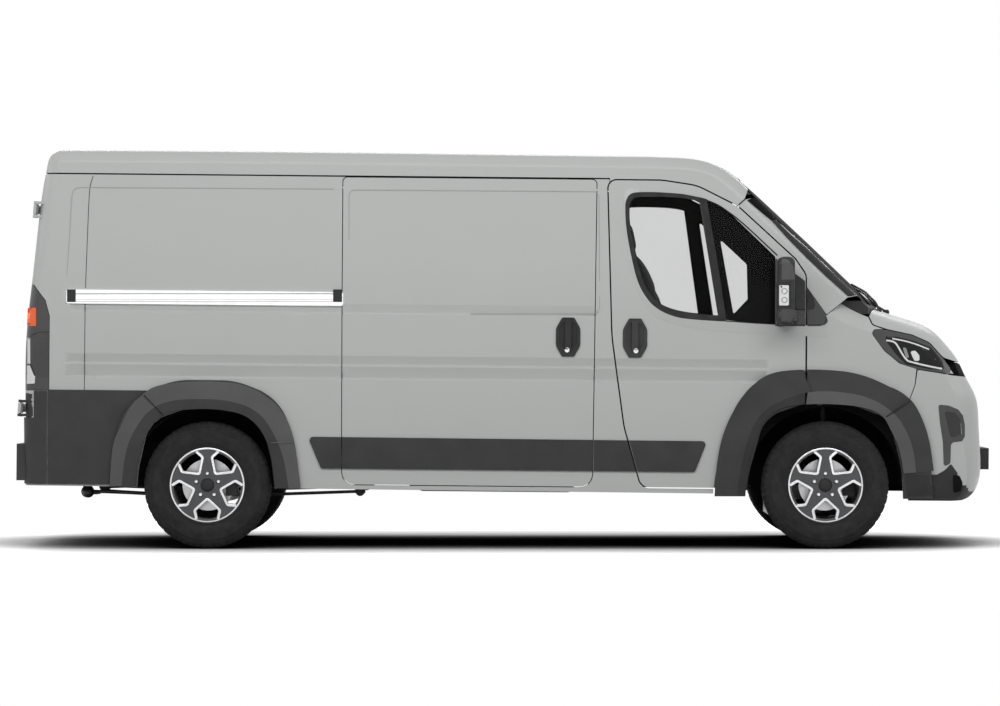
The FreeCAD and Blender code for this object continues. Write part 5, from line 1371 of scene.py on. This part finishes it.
def pillar_bands():
    """The black edge of the windscreen, over the front of each pillar."""
    meet = by_sight("side_right")
    top = rounded([(753.4, 197.3), (766.9, 210.5), (776.0, 219.8), (771.6, 220.4, 2),
                   (758.0, 209.3), (747.4, 200.2)], 3)
    rest = [(771.6, 220.4), (776.0, 219.8), (778.8, 222.5), (791.8, 235.5), (805.9, 247.0),
            (822.2, 262.7), (838.5, 277.3), (856.4, 295.0), (848.2, 296.0), (825.0, 275.2),
            (805.9, 256.8), (786.0, 236.4)]
    for name, outline, material in (("screen_corner", top, ARCH_LINER_AND_SHADE),
                                    ("screen_edge", rest, PLASTIC_DARK)):
        both_laid(name, meet, outline, material, thickness=0.0030, lift=0.0040, cell=1.5)


def door_and_wing_seams():
    meet = by_sight("side_right", "sliding_door", "front_door_right", "roof", "wings",
                    "front_bumper", "bonnet", "door_trim_right", "side_cladding")
    roof_end = [(736.6, 206.6), (741.0, 202.6), (745.4, 198.8)]
    both_laid("seam_roof_pillar", meet, line(roof_end, 0.8), SEAM, thickness=0.0004, cell=6.0)
    # The panel lines are painted shade along the edges of the recessed upper panels.
    meet = skin(0.0)
    rear = curve_through([(66.0, 287.0), (67.6, 262.0), (69.4, 235.0), (71.2, 205.0),
                          (72.2, 194.0), (74.6, 189.2), (80.0, 187.5), (90.0, 187.4)], 4)
    middle = rounded([(349.0, 240.0), (349.0, 189.8, 6), (599.0, 191.6, 6), (599.6, 313.6, 6),
                      (470.0, 313.6)], 4)
    for name, points in (("panel_edge_shade_rear", rear + [Vector((334.0, 188.9))]),
                         ("panel_edge_shade_middle", middle)):
        both_laid(name, meet, line(points, 0.8), PAINT_SHADE, thickness=0.0004, cell=14.0)


def underside():
    """The towing ball's bar and the rods seen under the sills."""
    y = -0.62
    bm = bmesh.new()
    bmesh.ops.create_uvsphere(bm, u_segments=28, v_segments=18, radius=0.034)
    for vert in bm.verts:
        vert.co = vert.co * (1.0 - 0.04 * abs(vert.co.z) / 0.034) + spot(88.2, 491.9, y)
    from_bmesh("spring_eye_rear", bm, [CHASSIS], BODY, 60.0)
    tube("rear_rod", [spot(px, py, y) for px, py in ((88.2, 491.9), (96.5, 493.3), (103.0, 490.6),
                                                    (124.0, 492.2), (150.0, 493.6))],
         0.011, CHASSIS, BODY)


dark_rooms()
for node, body in PRESSED.items():
    pressed_panel(node, body)
window_seals()
window_frames()
window_surround()
mirror_parts()
handle_parts()
headlamp_parts()
tail_lamp_parts()
rail_parts()
seams()
flare_bands()
seats()
screen_parts()
front_corner()
shade_backings()
housing_flanges()
rear_corner()
door_and_wing_seams()
pillar_bands()
underside()


# Floor, camera and light
def seen_rays(tree):
    """1 for the rays that show a thing to the camera, straight, mirrored or through glass."""
    path = tree.nodes.new("ShaderNodeLightPath")
    value = path.outputs["Is Camera Ray"]
    for name in ("Is Glossy Ray", "Is Transmission Ray"):
        either = tree.nodes.new("ShaderNodeMath")
        either.operation = "MAXIMUM"
        tree.links.new(value, either.inputs[0])
        tree.links.new(path.outputs[name], either.inputs[1])
        value = either.outputs[0]
    return value


def studio():
    world = bpy.context.scene.world or bpy.data.worlds.new("studio")
    bpy.context.scene.world = world
    world.use_nodes = True
    tree = world.node_tree
    tree.nodes.clear()
    seen_by = seen_rays(tree)
    lit = tree.nodes.new("ShaderNodeBackground")
    lit.inputs["Color"].default_value = (1.0, 1.0, 1.0, 1.0)
    lit.inputs["Strength"].default_value = 0.36
    seen = tree.nodes.new("ShaderNodeBackground")
    seen.inputs["Color"].default_value = (1.0, 1.0, 1.0, 1.0)
    seen.inputs["Strength"].default_value = 1.0
    mix = tree.nodes.new("ShaderNodeMixShader")
    out = tree.nodes.new("ShaderNodeOutputWorld")
    tree.links.new(seen_by, mix.inputs["Fac"])
    tree.links.new(lit.outputs["Background"], mix.inputs[1])
    tree.links.new(seen.outputs["Background"], mix.inputs[2])
    tree.links.new(mix.outputs["Shader"], out.inputs["Surface"])


def floor():
    """A pale floor: white where it is seen in the light, and white far off, with its shadow,
    deepened by ambient occlusion painted into its colour as painted shade.
    """
    mesh = bpy.data.meshes.new("studio_floor")
    reach = 60.0
    mesh.from_pydata([(-reach, -reach, 0), (reach, -reach, 0), (reach, reach, 0),
                      (-reach, reach, 0)], [], [(0, 1, 2, 3)])
    shader = Shader("studio_floor", (0.42, 0.42, 0.42), 0.9)
    tree = shader.material.node_tree
    bright = tree.nodes.new("ShaderNodeBsdfDiffuse")
    # Ambient occlusion darkens the floor's seen colour under the van: painted shade that deepens
    # its shadow.
    corner = tree.nodes.new("ShaderNodeAmbientOcclusion")
    corner.inputs["Distance"].default_value = 1.5
    deep = tree.nodes.new("ShaderNodeMath")
    deep.operation = "POWER"
    deep.inputs[1].default_value = 1.9
    tree.links.new(corner.outputs["AO"], deep.inputs[0])
    shade = tree.nodes.new("ShaderNodeMix")
    shade.data_type = "RGBA"
    shade.inputs["A"].default_value = (0.0, 0.0, 0.0, 1.0)
    shade.inputs["B"].default_value = (2.6, 2.6, 2.6, 1.0)
    tree.links.new(deep.outputs["Value"], shade.inputs["Factor"])
    tree.links.new(shade.outputs["Result"], bright.inputs["Color"])
    far = tree.nodes.new("ShaderNodeEmission")
    far.inputs["Strength"].default_value = 1.0
    distance = tree.nodes.new("ShaderNodeVectorMath")
    distance.operation = "LENGTH"
    tree.links.new(shader.coords.outputs["Object"], distance.inputs[0])
    fade = shader.span(distance.outputs["Value"], 0.0, 1.0, 4.2, 7.5)
    near_far = tree.nodes.new("ShaderNodeMixShader")
    tree.links.new(fade, near_far.inputs["Fac"])
    tree.links.new(bright.outputs["BSDF"], near_far.inputs[1])
    tree.links.new(far.outputs["Emission"], near_far.inputs[2])
    both = tree.nodes.new("ShaderNodeMixShader")
    tree.links.new(seen_rays(tree), both.inputs["Fac"])
    tree.links.new(shader.bsdf.outputs["BSDF"], both.inputs[1])
    tree.links.new(near_far.outputs["Shader"], both.inputs[2])
    tree.links.new(both.outputs["Shader"], tree.nodes["Material Output"].inputs["Surface"])
    mesh.materials.append(shader.material)
    plane = bpy.data.objects.new("studio_floor", mesh)
    bpy.context.scene.collection.objects.link(plane)


def softbox(name, place, target, width, height, power):
    light = bpy.data.lights.new(name, "AREA")
    light.shape = "RECTANGLE"
    light.size, light.size_y = width, height
    light.energy = power
    lamp = bpy.data.objects.new(name, light)
    lamp.location = place
    lamp.rotation_euler = (Vector(target) - Vector(place)).to_track_quat("-Z", "Y").to_euler()
    bpy.context.scene.collection.objects.link(lamp)


def lights():
    softbox("key_right", (0.0, -9.5, 6.6), (0, -1, 1.2), 14.0, 2.6, 600)
    softbox("key_left", (0.0, 9.5, 6.6), (0, 1, 1.2), 14.0, 2.6, 420)
    softbox("ahead", (11.0, 0.0, 5.0), (2.5, 0, 1.0), 8.0, 2.6, 120)
    softbox("behind", (-11.0, 0.0, 5.0), (-2.5, 0, 1.2), 8.0, 2.6, 150)


def camera():
    data = bpy.data.cameras.new("side_camera")
    data.sensor_width = 36.0
    data.lens = 167.9
    data.shift_x = -0.021
    data.clip_end = 200.0
    eye = bpy.data.objects.new("side_camera", data)
    eye.location = (0.068, -27.0, 1.093)
    eye.rotation_euler = (math.radians(90), 0, 0)
    bpy.context.scene.collection.objects.link(eye)
    bpy.context.scene.camera = eye


studio()
floor()
lights()
camera()
scene = bpy.context.scene
scene.view_settings.view_transform = "Standard"
scene.view_settings.look = "None"
